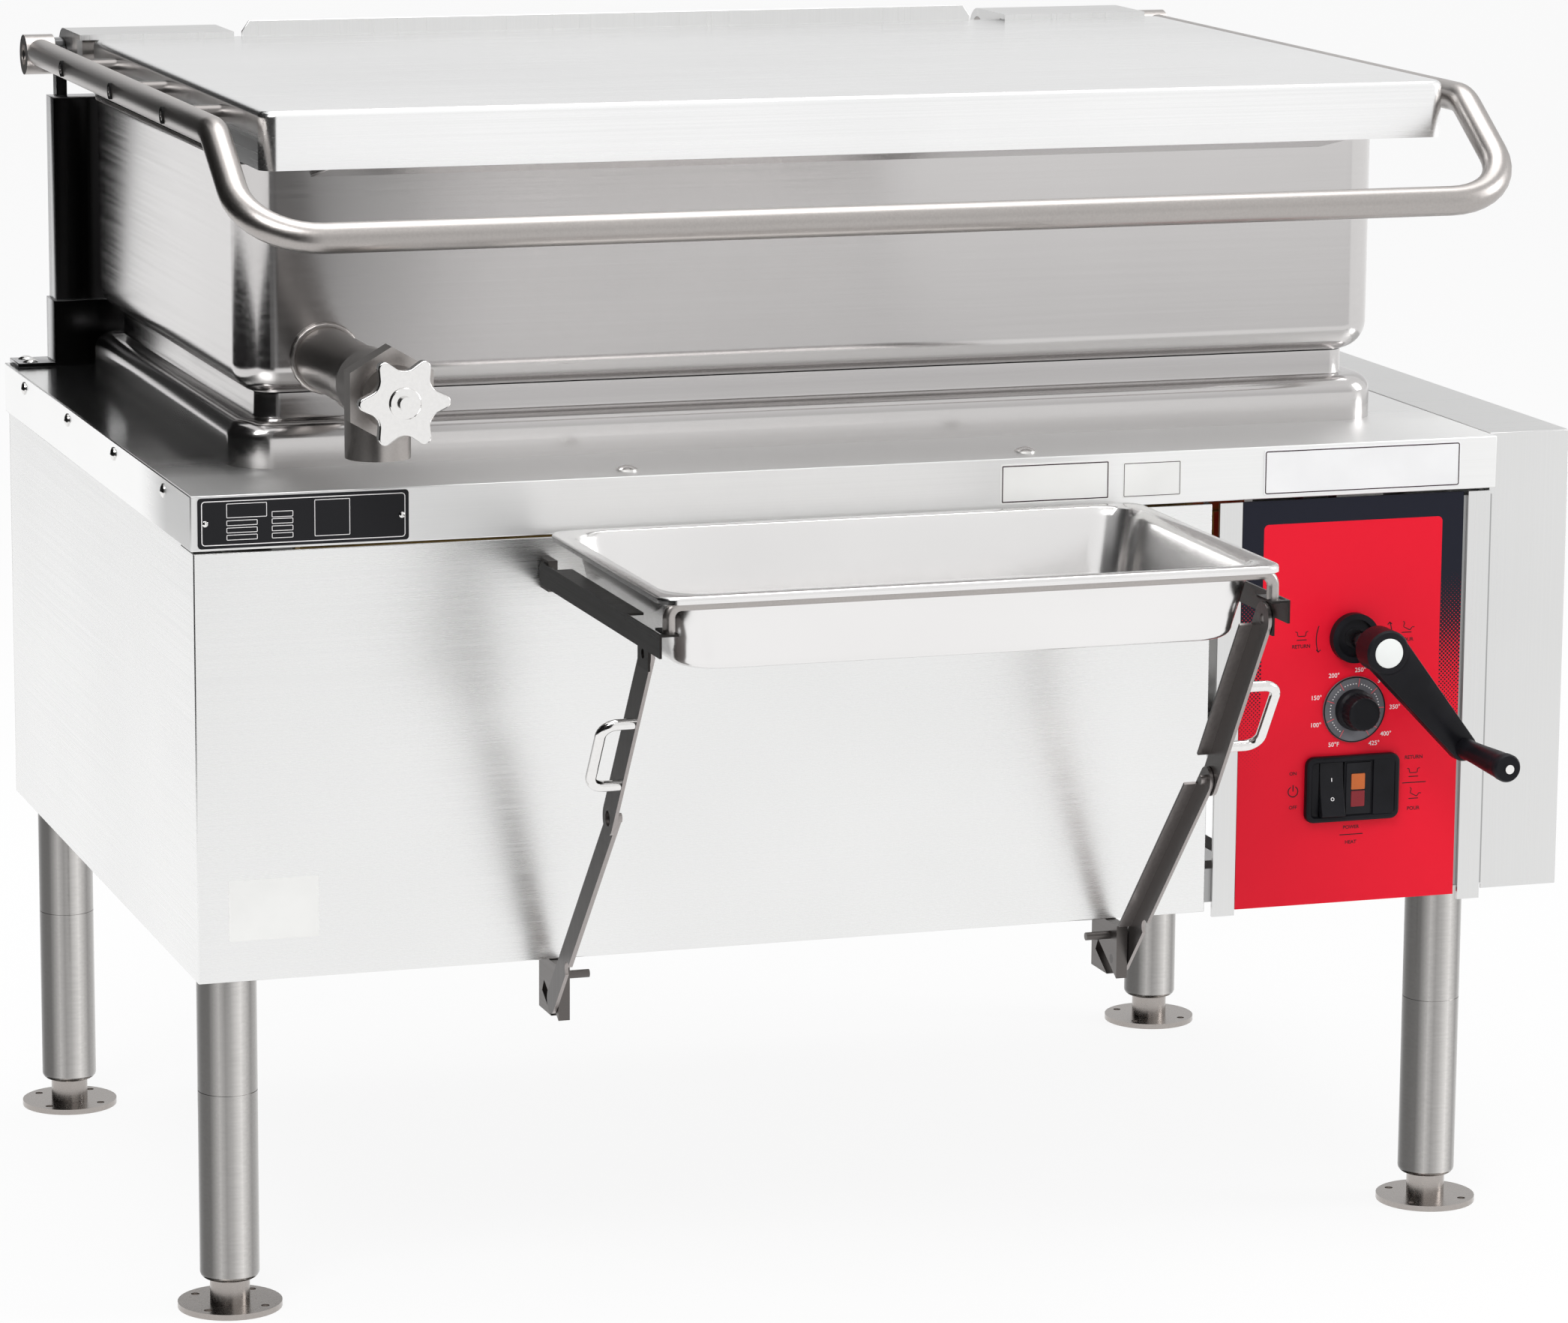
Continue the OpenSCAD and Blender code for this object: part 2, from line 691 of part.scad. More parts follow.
module gas_valve() {
    color("darkgoldenrod") {
        difference() {
            block([gas_valve_x0, manifold_y - gas_valve_h / 2, burner_z - gas_valve_h / 2],
                  [heat_x1, manifold_y + gas_valve_h / 2, burner_z + gas_valve_h / 2]);
            bar_y(gas_valve_x0 + gas_valve_w / 2, manifold_y - gas_valve_h, manifold_y, burner_z, lever_pin_r + run_gap);
        }
        bent_bar([
            [heat_x1 - gas_valve_w / 2, manifold_y, burner_z - gas_valve_h / 2],
            [heat_x1 - gas_valve_w / 2, manifold_y, heat_z0 - gas_pipe_drop],
            [inlet_x, manifold_y, heat_z0 - gas_pipe_drop],
            [inlet_x, manifold_y, inlet_z],
            [inlet_x, back_y - panel_t, inlet_z]
        ], [0, gas_bend_r, gas_bend_r, gas_bend_r, 0], gas_pipe_r);
    }
}
lever_pin_r = 4;
lever_l = 46;
lever_w = 14;
lever_t = 4;
lever_pin_l = 18;
module gas_valve_lever() {
    color("goldenrod")
        translate([gas_valve_x0 + gas_valve_w / 2, manifold_y - gas_valve_h / 2, burner_z]) {
            bar_y(0, -lever_t * 2, lever_pin_l, 0, lever_pin_r);
            translate([-lever_w / 2, -lever_t * 2, -lever_l]) cube([lever_w, lever_t, lever_l + lever_w / 2]);
        }
}
bracket_arm = 30;
bracket_back = 24;
// Plates on the cabinet frame that carry the pan's pivot pins, open to the front for the swinging apron
module pivot_brackets() {
    color("dimgray")
        for (x = pivot_xs)
            difference() {
                union() {
                    bar_x(x - pivot_lug_t / 2, x + pivot_lug_t / 2, pivot_y, pivot_z, pivot_lug_r);
                    block([x - pivot_lug_t / 2, pivot_y, pivot_z - pivot_lug_r],
                          [x + pivot_lug_t / 2, pivot_clear_y + bracket_back, pivot_z + pivot_lug_r]);
                    block([x - pivot_lug_t / 2, pivot_clear_y, post_z1 - bracket_arm],
                          [x + pivot_lug_t / 2, pivot_clear_y + bracket_back, pivot_z]);
                    block([min(x - pivot_lug_t / 2, frame_rail_x(x)), frame_y0, post_z1 - bracket_arm],
                          [max(x + pivot_lug_t / 2, frame_rail_x(x)), frame_y0 + rail, post_z1]);
                    block([x - pivot_lug_t / 2, frame_y0, post_z1 - bracket_arm],
                          [x + pivot_lug_t / 2, pivot_clear_y + bracket_back, post_z1]);
                }
                bar_x(x - pivot_lug_t, x + pivot_lug_t, pivot_y, pivot_z, pivot_pin_r + run_gap);
            }
}
function frame_rail_x(x) = x < 0 ? frame_x0 + rail : frame_x1 - rail;
bearing_r = 22;
bearing_t = 10;
bearing_face_t = 8;
bearing_neck = 5;
bearing_step = 3;
bearing_recess = 3.5;
module crank_bearing() {
    color("black")
        difference() {
            union() {
                bar_y(crank_x, panel_y - seat_gap - bearing_face_t, panel_y - seat_gap, crank_z, bearing_r);
                bar_y(crank_x, panel_y - bearing_t, panel_y + control_t, crank_z, crank_shaft_r + bearing_neck);
                bar_y(crank_x, panel_y + control_t, panel_y + control_t + bearing_t, crank_z, bearing_r - bearing_step);
            }
            bar_y(crank_x, panel_y - bearing_t * 2, panel_y - bearing_recess, crank_z, bearing_r - bearing_neck);
            bar_y(crank_x, panel_y - bearing_t * 2, panel_y + bearing_t * 2 + control_t, crank_z,
                  crank_shaft_r + run_gap);
        }
}
jack_x = crank_x;
jack_x0 = jack_x - jack_box[0] / 2;
jack_y0 = jack_y - jack_box[1] / 2;
jack_z0 = crank_z - jack_box[2] / 2;
jack_shelf = 12;
jack_cap = 8;
jack_nose_l = 14;
jack_nose_wall = 8;
jack_web = 48;
shaft_clear = 4;
module jack_gearbox() {
    color("slategray")
        difference() {
            union() {
                translate([jack_x0, jack_y0, jack_z0]) cube(jack_box);
                bar_z(jack_x, jack_y, jack_low_z - jack_cap, jack_z0, jack_tube_r);
                bar_y(jack_x, jack_y0 - jack_nose_l, jack_y0, crank_z, crank_shaft_r + jack_nose_wall);
                block([jack_x0, jack_y0, jack_z0 - jack_shelf], [frame_x1 - rail, jack_y0 + jack_box[1], jack_z0]);
                block([frame_x1 - rail - jack_shelf, frame_y0 + rail, jack_z0 - jack_web],
                      [frame_x1 - rail, frame_y1 - rail, jack_z0]);
            }
            bar_z(jack_x, jack_y, jack_low_z - seat_gap, crank_z + jack_box[2], jack_r + run_gap);
            bar_y(jack_x, jack_y0 - jack_nose_l - overrun, crank_shaft_end, crank_z, crank_shaft_r + run_gap);
        }
}
crank_shaft_end = jack_y - jack_r - shaft_clear;
dial_shaft_r = 3;
dial_body = [52, 34, 40];
bulb_l = 10;
bulb_r = 8;
dial_bore_share = 0.6;
dial_depth_share = 0.5;
module thermostat_body() {
    color("dimgray")
        difference() {
            union() {
                translate([dial_x - dial_body[0] / 2, panel_y + control_t, dial_z - dial_body[2] / 2]) cube(dial_body);
                bar_y(dial_x, panel_y + control_t + dial_body[1], panel_y + control_t + dial_body[1] + bulb_l, dial_z, bulb_r);
            }
            bar_y(dial_x, panel_y, panel_y + control_t + dial_body[1] * dial_bore_share, dial_z, dial_shaft_r + run_gap);
        }
}
switch_rim = 6;
switch_r = 6;
switch_pitch = 6;
blank_gap = 5;
rocker_x = switch_x0 + switch_rim + switch_pitch + rocker_w / 2;
lens_x = rocker_x + rocker_w / 2 + switch_pitch + lens_w / 2;
blank_x = lens_x + lens_w / 2 + blank_gap;
switch_mid_z = (switch_z0 + switch_z1) / 2;
switch_depth = 26;
rocker_gap = 0.8;
rocker_pin_r = 2;
rocker_pin_l = 3;
rocker_rim = 3;
rocker_hub = 2;
rocker_well = 13;
switch_front_y = panel_y - seat_gap - switch_t;
module switch_housing() {
    color("black")
        difference() {
            union() {
                translate([0, panel_y - seat_gap, 0]) rotate([90, 0, 0]) linear_extrude(switch_t)
                    rounded([switch_x0, switch_z0], [switch_x1, switch_z1], switch_r);
                block([switch_x0 + switch_rim + skin_gap, panel_y - seat_gap, switch_z0 + switch_rim + skin_gap],
                      [switch_x1 - switch_rim - skin_gap, panel_y + switch_depth, switch_z1 - switch_rim - skin_gap]);
            }
            block([rocker_x - rocker_w / 2 - rocker_gap, switch_front_y - overrun,
                   switch_mid_z - rocker_h / 2 - rocker_gap],
                  [rocker_x + rocker_w / 2 + rocker_gap, panel_y + rocker_well,
                   switch_mid_z + rocker_h / 2 + rocker_gap]);
            bar_x(rocker_x - rocker_w, rocker_x + rocker_w / 2 + rocker_pin_l + skin_gap, rocker_axis_y, switch_mid_z,
                  rocker_pin_r + run_gap);
            block([lens_x - lens_w / 2 - run_gap, switch_front_y - overrun, switch_mid_z - lens_h / 2 - run_gap],
                  [lens_x + lens_w / 2 + run_gap, switch_front_y + lens_t, switch_mid_z + lens_h / 2 + run_gap]);
            block([blank_x, switch_front_y - overrun, switch_z0 + switch_rim],
                  [switch_x1 - switch_rim, switch_front_y + panel_t, switch_z1 - switch_rim]);
        }
}
lens_t = 4;
rocker_axis_in = 2;
rocker_axis_y = panel_y + rocker_axis_in;
rocker_dish_r = 60;
module indicator_lens() {
    color("orangered")
        block([lens_x - lens_w / 2, switch_front_y - skin_gap, switch_mid_z - lens_h / 2],
              [lens_x + lens_w / 2, switch_front_y + lens_t - seat_gap, switch_mid_z + lens_h / 2]);
}
rocker_thick = 8;
module power_rocker() {
    color("black")
        translate([rocker_x, rocker_axis_y, switch_mid_z]) {
            rotate([-rocker_tilt, 0, 0]) difference() {
                translate([-rocker_w / 2, -rocker_thick - rocker_rim, -rocker_h / 2 + rocker_rim])
                    cube([rocker_w, rocker_thick, rocker_h - 2 * rocker_rim]);
                translate([-rocker_w, -rocker_thick - rocker_rim - rocker_dish_r, 0]) rotate([0, 90, 0])
                    cylinder(r = rocker_dish_r + rocker_hub, h = rocker_w * 2, $fn = fine_fn);
            }
            bar_x(-rocker_w / 2, rocker_w / 2, 0, 0, rocker_pin_r + rocker_hub);
            bar_x(-rocker_w / 2 - rocker_pin_l, rocker_w / 2 + rocker_pin_l, 0, 0, rocker_pin_r);
        }
}
lug_plate = 10;
lug_front = 12;
lug_low = 16;
stop_l = 22;
stop_y = 6;
stop_rise = 20;
hook_y = 14;
hook_drop = 30;
hook_angle = 30;
hook_l = 60;
hook_w = 12;
stop_pin_r = 3.5;
// Brackets under the front edge that carry the lower arms
module arm_brackets() {
    color("dimgray")
        for (s = [-1, 1])
            translate([tray_mid_x, 0, 0]) mirror([s > 0 ? 0 : 1, 0, 0]) {
                difference() {
                    union() {
                        block([bracket_in, foot_pin_y - lug_front, foot_pin_z - lug_low],
                              [bracket_in + lug_plate, frame_y0 + rail, leg_clear_h - seat_gap]);
                        block([bracket_in, panel_y + panel_return + skin_gap, leg_clear_h - seat_gap],
                              [bracket_in + lug_plate, frame_y0 + rail, base_z + base_plate_t]);
                        bar_x(bracket_in - stop_l, bracket_in, foot_pin_y + stop_y, foot_pin_z + stop_rise, stop_pin_r);
                    }
                    bar_x(bracket_in - overrun, bracket_in + lug_plate + overrun, foot_pin_y, foot_pin_z,
                          holder_pin_r + run_gap);
                    translate([bracket_in - overrun, foot_pin_y - hook_y, foot_pin_z - hook_drop]) rotate([hook_angle, 0, 0])
                        cube([lug_plate + 2 * overrun, hook_l, hook_w]);
                }
            }
}
bracket_in = lower_out - arm_t - arm_gap - lug_plate;
lug_t = 8;
lug_nose = 6;
lug_below = 14;
lug_above = 12;
// Lugs on the cabinet front that hinge the holder and seat the rear rim of the tray
module holder_lugs() {
    color("dimgray")
        for (s = [-1, 1])
            translate([tray_mid_x, 0, 0]) mirror([s > 0 ? 0 : 1, 0, 0])
                difference() {
                    block([angle_out - angle_t - lug_t - arm_gap, tray_back_y - lug_nose, holder_z - lug_below],
                          [angle_out - angle_t - arm_gap, panel_y - seat_gap, holder_z + lug_above]);
                    bar_x(angle_out - lug_t * 2, angle_out + overrun, holder_y, holder_z, holder_pin_r + run_gap);
                }
}
module deck() {
    color("gainsboro")
        difference() {
            block([x_left, 0, apron_z], [deck_right, deck_d, deck_z]);
            block([x_left + deck_t, deck_t, apron_z - overrun],
                  [deck_right - deck_t, deck_d - deck_t, deck_z - deck_t]);
            block([heat_x0 - throat_gap, heat_y0 - throat_gap, deck_z - deck_t - overrun],
                  [heat_x1 + throat_gap, heat_y1 + throat_gap, deck_z + overrun]);
        }
}
skirt_a = [pan_x0 - skirt_margin, pan_y0 - seat_gap];
skirt_b = [pan_x1 + skirt_margin, pan_y1 + skirt_margin];
neck_a = [pan_x0 + neck_inset, pan_y0 + neck_inset];
neck_b = [pan_x1 - neck_inset, pan_y1 - neck_inset];
skirt_z1 = deck_z + skirt_h + skirt_edge_r;
module pan_skirt() {
    color("silver")
        difference() {
            union() {
                soft_top(skirt_a, skirt_b, deck_z, skirt_z1, pan_corner_r, skirt_edge_r);
                translate([0, 0, skirt_z1 - skirt_edge_r]) linear_extrude(pan_z0 - skirt_z1 + skirt_edge_r)
                    rounded(neck_a, neck_b, neck_corner_r);
            }
            soft_top(skirt_a + [neck_t, neck_t], skirt_b - [neck_t, neck_t], deck_z - overrun,
                     skirt_z1 - neck_t, pan_corner_r - neck_t, skirt_edge_r - neck_t);
            translate([0, 0, deck_z]) linear_extrude(pan_h)
                rounded(neck_a + [neck_t, neck_t], neck_b - [neck_t, neck_t], neck_corner_r - neck_t);
        }
}
module pan_shell() {
    a = [pan_x0, pan_y0];
    b = [pan_x1, pan_y1];
    t = [pan_t, pan_t];
    f = [rim_flange, rim_flange];
    color("silver")
        difference() {
            union() {
                soft_bottom(a, b, pan_z0, rim_z, pan_corner_r, pan_edge_r);
                translate([0, 0, rim_z - rim_t]) linear_extrude(rim_t)
                    rounded([lid_x0, pan_y0], [pan_x1 + rim_flange, lid_y1], rim_corner_r);
                hull() {
                    block([lid_x0 + lip_side, pan_y0 - lip_reach, rim_z - rim_t], [pan_x1 - lip_side, pan_y0, rim_z]);
                    block([lid_x0 + lip_side, pan_y0, rim_z - rim_t - lip_drop], [pan_x1 - lip_side, pan_y0 + pan_t, rim_z]);
                }
            }
            soft_bottom(a + t, b - t, pan_z0 + pan_t, rim_z + thin * 2, pan_corner_r - pan_t, pan_edge_r - pan_t);
            hull() {
                block([lid_x0 + lip_side + pan_t, pan_y0 - lip_reach - overrun, rim_z - thin],
                      [pan_x1 - lip_side - pan_t, pan_y0 + pan_t, rim_z + overrun]);
                block([lid_x0 + lip_side + pan_t, pan_y0 - thin, rim_z - lip_drop],
                      [pan_x1 - lip_side - pan_t, pan_y0 + pan_t + overrun, rim_z + overrun]);
            }
            bar_y(valve_x, pan_y0 - overrun, pan_y0 + pan_t + overrun, valve_z, valve_bore_r);
        }
}
lip_side = 60;
module pan_base_plate() {
    color("dimgray")
        block([pan_x0 + base_plate_inset, pan_y0 + base_plate_inset, pan_z0 - clad_t],
              [pan_x1 - base_plate_inset, pan_y1 - base_plate_inset, pan_z0]);
}
ear_gap = 0.5;
ear_plate_t = 8;
ear_l = 60;
// Pairs of ears under the deck, one on each side of every bracket
module pivot_ears() {
    color("dimgray")
        for (x = pivot_xs, s = [-1, 1])
            let (e = x + s * (pivot_lug_t / 2 + ear_gap + ear_plate_t / 2))
                difference() {
                    union() {
                        bar_x(e - ear_plate_t / 2, e + ear_plate_t / 2, pivot_y, pivot_z, pivot_lug_r);
                        block([e - ear_plate_t / 2, pivot_y, pivot_z - pivot_lug_r],
                              [e + ear_plate_t / 2, pivot_y + ear_l, deck_z - deck_t]);
                    }
                    bar_x(e - ear_plate_t, e + ear_plate_t, pivot_y, pivot_z, pivot_pin_r);
                }
}
module pivot_pins() {
    color("silver")
        for (x = pivot_xs)
            bar_x(x - pivot_lug_t / 2 - ear_gap - ear_plate_t, x + pivot_lug_t / 2 + ear_gap + ear_plate_t,
                  pivot_y, pivot_z, pivot_pin_r);
}
post_side = 6;
post_behind = 4;
post_x0 = ear_x0 - post_side;
post_x1 = ear_x1 + ear_t + post_side;
post_y0 = hinge_y - post_d + post_behind;
post_top_z = lid_z0 - post_top_gap;
// One post, drawn for the left side with its outer face at x = 0
module hinge_post(outer) {
    difference() {
        block([0, post_y0, deck_z + base_tab_t], [post_w, post_y0 + post_d, post_top_z]);
        block([post_t, post_y0 + post_t, deck_z + base_tab_t - overrun],
              [post_w + overrun, post_y0 + post_d + overrun, post_top_z - post_t]);
    }
    block([-foot_bracket_t, post_y0 - foot_bracket_t, deck_z + base_tab_t],
          [post_w + foot_wing, post_y0, deck_z + foot_bracket_h]);
    block([-foot_bracket_t, post_y0 - foot_bracket_t, deck_z + base_tab_t],
          [0, post_y0 + post_d, deck_z + foot_bracket_h]);
    block([-foot_bracket_t, post_y0 - foot_bracket_t, deck_z],
          [post_w, post_y0 + post_d, deck_z + base_tab_t]);
    block([-base_tab_w, post_y0 - foot_bracket_t, deck_z], [0, post_y0 + base_tab_d, deck_z + base_tab_t]);
    difference() {
        union() {
            block([outer, hinge_y - barrel_r, post_top_z], [outer + ear_t, hinge_y, hinge_z]);
            block([outer, hinge_y - barrel_r, post_top_z - post_t], [outer + ear_t, hinge_y - skin_gap, hinge_z]);
            bar_x(outer, outer + ear_t, hinge_y, hinge_z, barrel_r);
        }
        bar_x(outer - overrun, outer + ear_t + overrun, hinge_y, hinge_z, hinge_shaft_r);
    }
}
module hinge_posts() {
    color("silver") {
        translate([post_x0, 0, 0]) hinge_post(ear_x0 - post_x0);
        translate([post_x1, 0, 0]) mirror([1, 0, 0]) hinge_post(post_x1 - ear_x1 - ear_t);
    }
}
shaft_inset = 2;
module hinge_shaft() {
    color("gray") bar_x(stub_x0 + shaft_inset, stub_x1 + stub_right_w - shaft_inset, hinge_y, hinge_z, hinge_shaft_r);
}
cam_xs = [jack_x - eye_t / 2 - cam_gap - cam_t, jack_x + eye_t / 2 + cam_gap];
slot_steps = 12;
slot_gap = 0.4;
// Place of the jack pin in the plane of the pan, for a tilt of a degrees
function slot_at(a) =
    let (dy = jack_arm, dz = jack_pin_z - pivot_z + jack_travel * a / tilt_max)
        [dy * cos(a) + dz * sin(a), dz * cos(a) - dy * sin(a)];
cam_below = 19;
cam_rear = 32;
cam_front_share = 0.55;
cam_low_z = jack_pin_z - cam_below;
// Plates under the deck whose slots follow the jack pin through the whole tilt
module lift_cams() {
    color("dimgray")
        for (x = cam_xs)
            difference() {
                block([x, pivot_y + jack_arm * cam_front_share, cam_low_z], [x + cam_t, jack_y + cam_rear, deck_z - deck_t]);
                hull()
                    for (i = [0 : slot_steps])
                        let (p = slot_at(tilt_max * i / slot_steps))
                            translate([x - overrun, pivot_y + p[0], pivot_z + p[1]]) rotate([0, 90, 0])
                                cylinder(r = jack_pin_r + slot_gap, h = cam_t + 2 * overrun, $fn = hull_fn);
            }
}
weld_r = 2.5;
valve_sleeve_l = 46;
valve_nose_l = spout_r + seat_gap;
valve_sleeve_wall = 2;
seat_bore_r = 15;
seat_t = 5;
// Pipe welded to the pan front, with the tee that carries the spout
module valve_body() {
    color("silver")
        difference() {
            union() {
                bar_y(valve_x, spout_y, pan_y0, valve_z, valve_r);
                bar_y(valve_x, pan_y0 - weld_r, pan_y0, valve_z, valve_r + weld_r);
                bar_y(valve_x, hex_y1, spout_y + valve_sleeve_l, valve_z, valve_r + valve_sleeve_wall);
                bar_z(valve_x, spout_y, valve_z - spout_drop, valve_z, spout_r);
            }
            bar_y(valve_x, hex_y1 - overrun, plug_y + plug_l + seat_gap, valve_z, valve_bore_r);
            bar_y(valve_x, plug_y, pan_y0 + overrun, valve_z, seat_bore_r);
            bar_y(valve_x, plug_y + plug_l + seat_gap + seat_t, pan_y0 + overrun, valve_z, valve_bore_r);
            bar_z(valve_x, spout_y, valve_z - spout_drop - overrun, valve_z, spout_bore_r);
        }
}
hex_y1 = spout_y - valve_nose_l;
hex_y0 = hex_y1 - hex_l;
boss_l = 8;
hex_wall = 4;
module valve_cap_nut() {
    color("silver")
        difference() {
            union() {
                translate([valve_x, hex_y1, valve_z]) rotate([90, 30, 0]) cylinder(r = hex_r, h = hex_l, $fn = 6);
                bar_y(valve_x, hex_y0 - boss_l, hex_y0, valve_z, valve_r);
            }
            bar_y(valve_x, hex_y0 - boss_l - overrun, hex_y1 + overrun, valve_z, stem_r + run_gap);
            bar_y(valve_x, hex_y0 + hex_wall, hex_y1 + overrun, valve_z, valve_bore_r);
        }
}
plug_l = 12;
plug_gap = 2.5;
plug_back = 6;
plug_y = spout_y + spout_r + plug_back;
valve_clear = 24.7;
stem_nose = 7;
knob_y1 = hex_y0 - boss_l - valve_clear;
stem_end_y = knob_y1 - knob_t - stem_nose;
module valve_stem() {
    color("silver") {
        bar_y(valve_x, stem_end_y, plug_y, valve_z, stem_r);
        bar_y(valve_x, plug_y, plug_y + plug_l, valve_z, valve_bore_r - plug_gap);
    }
}
knob_hub_r = 12.5;
knob_tip_r = 4.5;
knob_hub_l = 4;
knob_root_share = 0.57;
knob_middle_share = 0.6;
knob_flank_shares = [0.7, 0.93];
// Star plate: round tips on long points, joined by straight flanks to a round middle
module valve_knob() {
    color("silver")
        translate([valve_x, knob_y1, valve_z]) rotate([90, 0, 0])
            difference() {
                union() {
                    linear_extrude(knob_t) {
                        circle(r = knob_r * knob_middle_share, $fn = fine_fn);
                        for (i = [0 : knob_points - 1]) rotate([0, 0, 360 * i / knob_points]) {
                            translate([knob_r - knob_tip_r, 0]) circle(r = knob_tip_r, $fn = mid_fn);
                            polygon([
                                [0, -knob_r * knob_root_share],
                                [knob_r - knob_tip_r * knob_flank_shares[0], -knob_tip_r * knob_flank_shares[1]],
                                [knob_r - knob_tip_r * knob_flank_shares[0], knob_tip_r * knob_flank_shares[1]],
                                [0, knob_r * knob_root_share]
                            ]);
                        }
                    }
                    translate([0, 0, knob_t]) cylinder(r = knob_hub_r, h = knob_hub_l, $fn = mid_fn);
                }
                translate([0, 0, -overrun]) cylinder(r = stem_r + run_gap, h = knob_t + knob_hub_l + 2 * overrun, $fn = mid_fn);
            }
}
screw_r = 6;
side_screw_shares = [0.128, 0.38, 0.63, 0.881];
front_screw_shares = [0.3259, 0.6313];
front_screw_y = 30;
side_screw_drop = 11;
post_bolt_y = 6;
post_bolt_pitch = 22;
dome_share = 1.6;
big_screw_share = 1.5;
post_screw_share = 1.2;
tab_place_share = 0.65;
module dome(r, h) {
    intersection() {
        cylinder(r = r, h = h, $fn = mid_fn);
        translate([0, 0, h - r * dome_share]) sphere(r = r * dome_share, $fn = mid_fn);
    }
}
// Dome screws of the deck and the black bolts of the hinge posts
module deck_screws() {
    color("gray") {
        for (k = side_screw_shares)
            translate([x_left, deck_d * k, deck_z - side_screw_drop]) rotate([0, -90, 0]) dome(screw_r, screw_h);
        for (k = front_screw_shares)
            translate([x_left + (deck_right - x_left) * k, front_screw_y, deck_z])
                dome(screw_r * big_screw_share, screw_h * dome_share);
        for (x = [post_x0 - base_tab_w * tab_place_share, post_x1 + base_tab_w * tab_place_share], y = [0, post_bolt_pitch])
            translate([x, post_y0 + post_bolt_y + y, deck_z + base_tab_t]) dome(screw_r * post_screw_share, screw_h);
    }
}
plate_t = 0.8;
rating_w = 178;
rating_h = 42;
rating_in = 6;
rating_up = 2;
module rating_plate() {
    color("black")
        block([x_left + rating_in, -plate_t, apron_z + rating_up],
              [x_left + rating_in + rating_w, 0, apron_z + rating_up + rating_h]);
}
name_w = 186;
name_h = 40;
name_margin = 35;
name_up = 3;
name_x = deck_right - name_margin - name_w;
module name_plate() {
    color("white")
        block([name_x, -plate_t, apron_z + name_up], [name_x + name_w, 0, apron_z + name_up + name_h]);
}
module lid_shell() {
    a = [lid_x0, lid_y0];
    b = [lid_x1, lid_y1];
    t = [lid_t, lid_t];
    color("gainsboro") {
        difference() {
            soft_top(a, b, lid_z0, lid_z1, lid_corner_r, lid_edge_r);
            soft_top(a + t, b - t, lid_z0 - overrun, lid_z1 - lid_t, lid_corner_r - lid_t, lid_edge_r - lid_t);
        }
        block([sleeve_x0 + sleeve_w + upstand_margin, lid_y1 - lid_t, lid_z0 + lid_edge_r],
              [sleeve_x1 - upstand_right_margin, lid_y1, lid_z1 + upstand_h]);
    }
}
tail_l = 14;
tail_t = 3;
ring_t = 5;
sleeve_cut_share = 0.6;
// Rolled covers over the hinge, with the end rings that carry the barrels
module lid_sleeves() {
    color("gainsboro")
        for (x = [sleeve_x0, sleeve_x1]) {
            difference() {
                union() {
                    bar_x(x, x + sleeve_w, hinge_y, hinge_z, sleeve_r);
                    block([x, lid_y1 + seat_gap, hinge_z], [x + sleeve_w, hinge_y, hinge_z + sleeve_r]);
                }
                bar_x(x + ring_t, x + sleeve_w - ring_t, hinge_y, hinge_z, sleeve_r - sleeve_t);
                block([x + ring_t, lid_y1, hinge_z - sleeve_r], [x + sleeve_w - ring_t, hinge_y, hinge_z + sleeve_r - sleeve_t]);
                bar_x(x - overrun, x + sleeve_w + overrun, hinge_y, hinge_z, barrel_r + seat_gap);
                block([x - overrun, lid_y1 - overrun, hinge_z - sleeve_r - overrun],
                      [x + sleeve_w + overrun, hinge_y + sleeve_r * sleeve_cut_share, hinge_z - barrel_r * sleeve_cut_share]);
            }
            block([x, lid_y1 - tail_l, lid_z1], [x + sleeve_w, lid_y1 + tail_t, hinge_z + sleeve_r]);
        }
}
module hinge_barrels() {
    color("silver")
        for (s = [[stub_x0, stub_w, stub_r], [sleeve_x0, sleeve_w, barrel_r],
                  [sleeve_x1, sleeve_w, barrel_r], [stub_x1, stub_right_w, stub_r]])
            difference() {
                bar_x(s[0], s[0] + s[1], hinge_y, hinge_z, s[2]);
                bar_x(s[0] - overrun, s[0] + s[1] + overrun, hinge_y, hinge_z, hinge_shaft_r + run_gap);
            }
}
handle_end_y = hinge_y - stub_r - seat_gap;
arc_steps = 8;
// Stations of a bend between runs a and b: place and heading
function bend_at(p, a, b, r) =
    let (turn = acos(a * b), inward = unit(b - a * (a * b)), c = p - a * r * tan(turn / 2) + inward * r)
        [for (i = [0 : arc_steps])
            let (t = turn * i / arc_steps)
                [c - inward * r * cos(t) + a * r * sin(t), a * cos(t) + inward * sin(t)]];
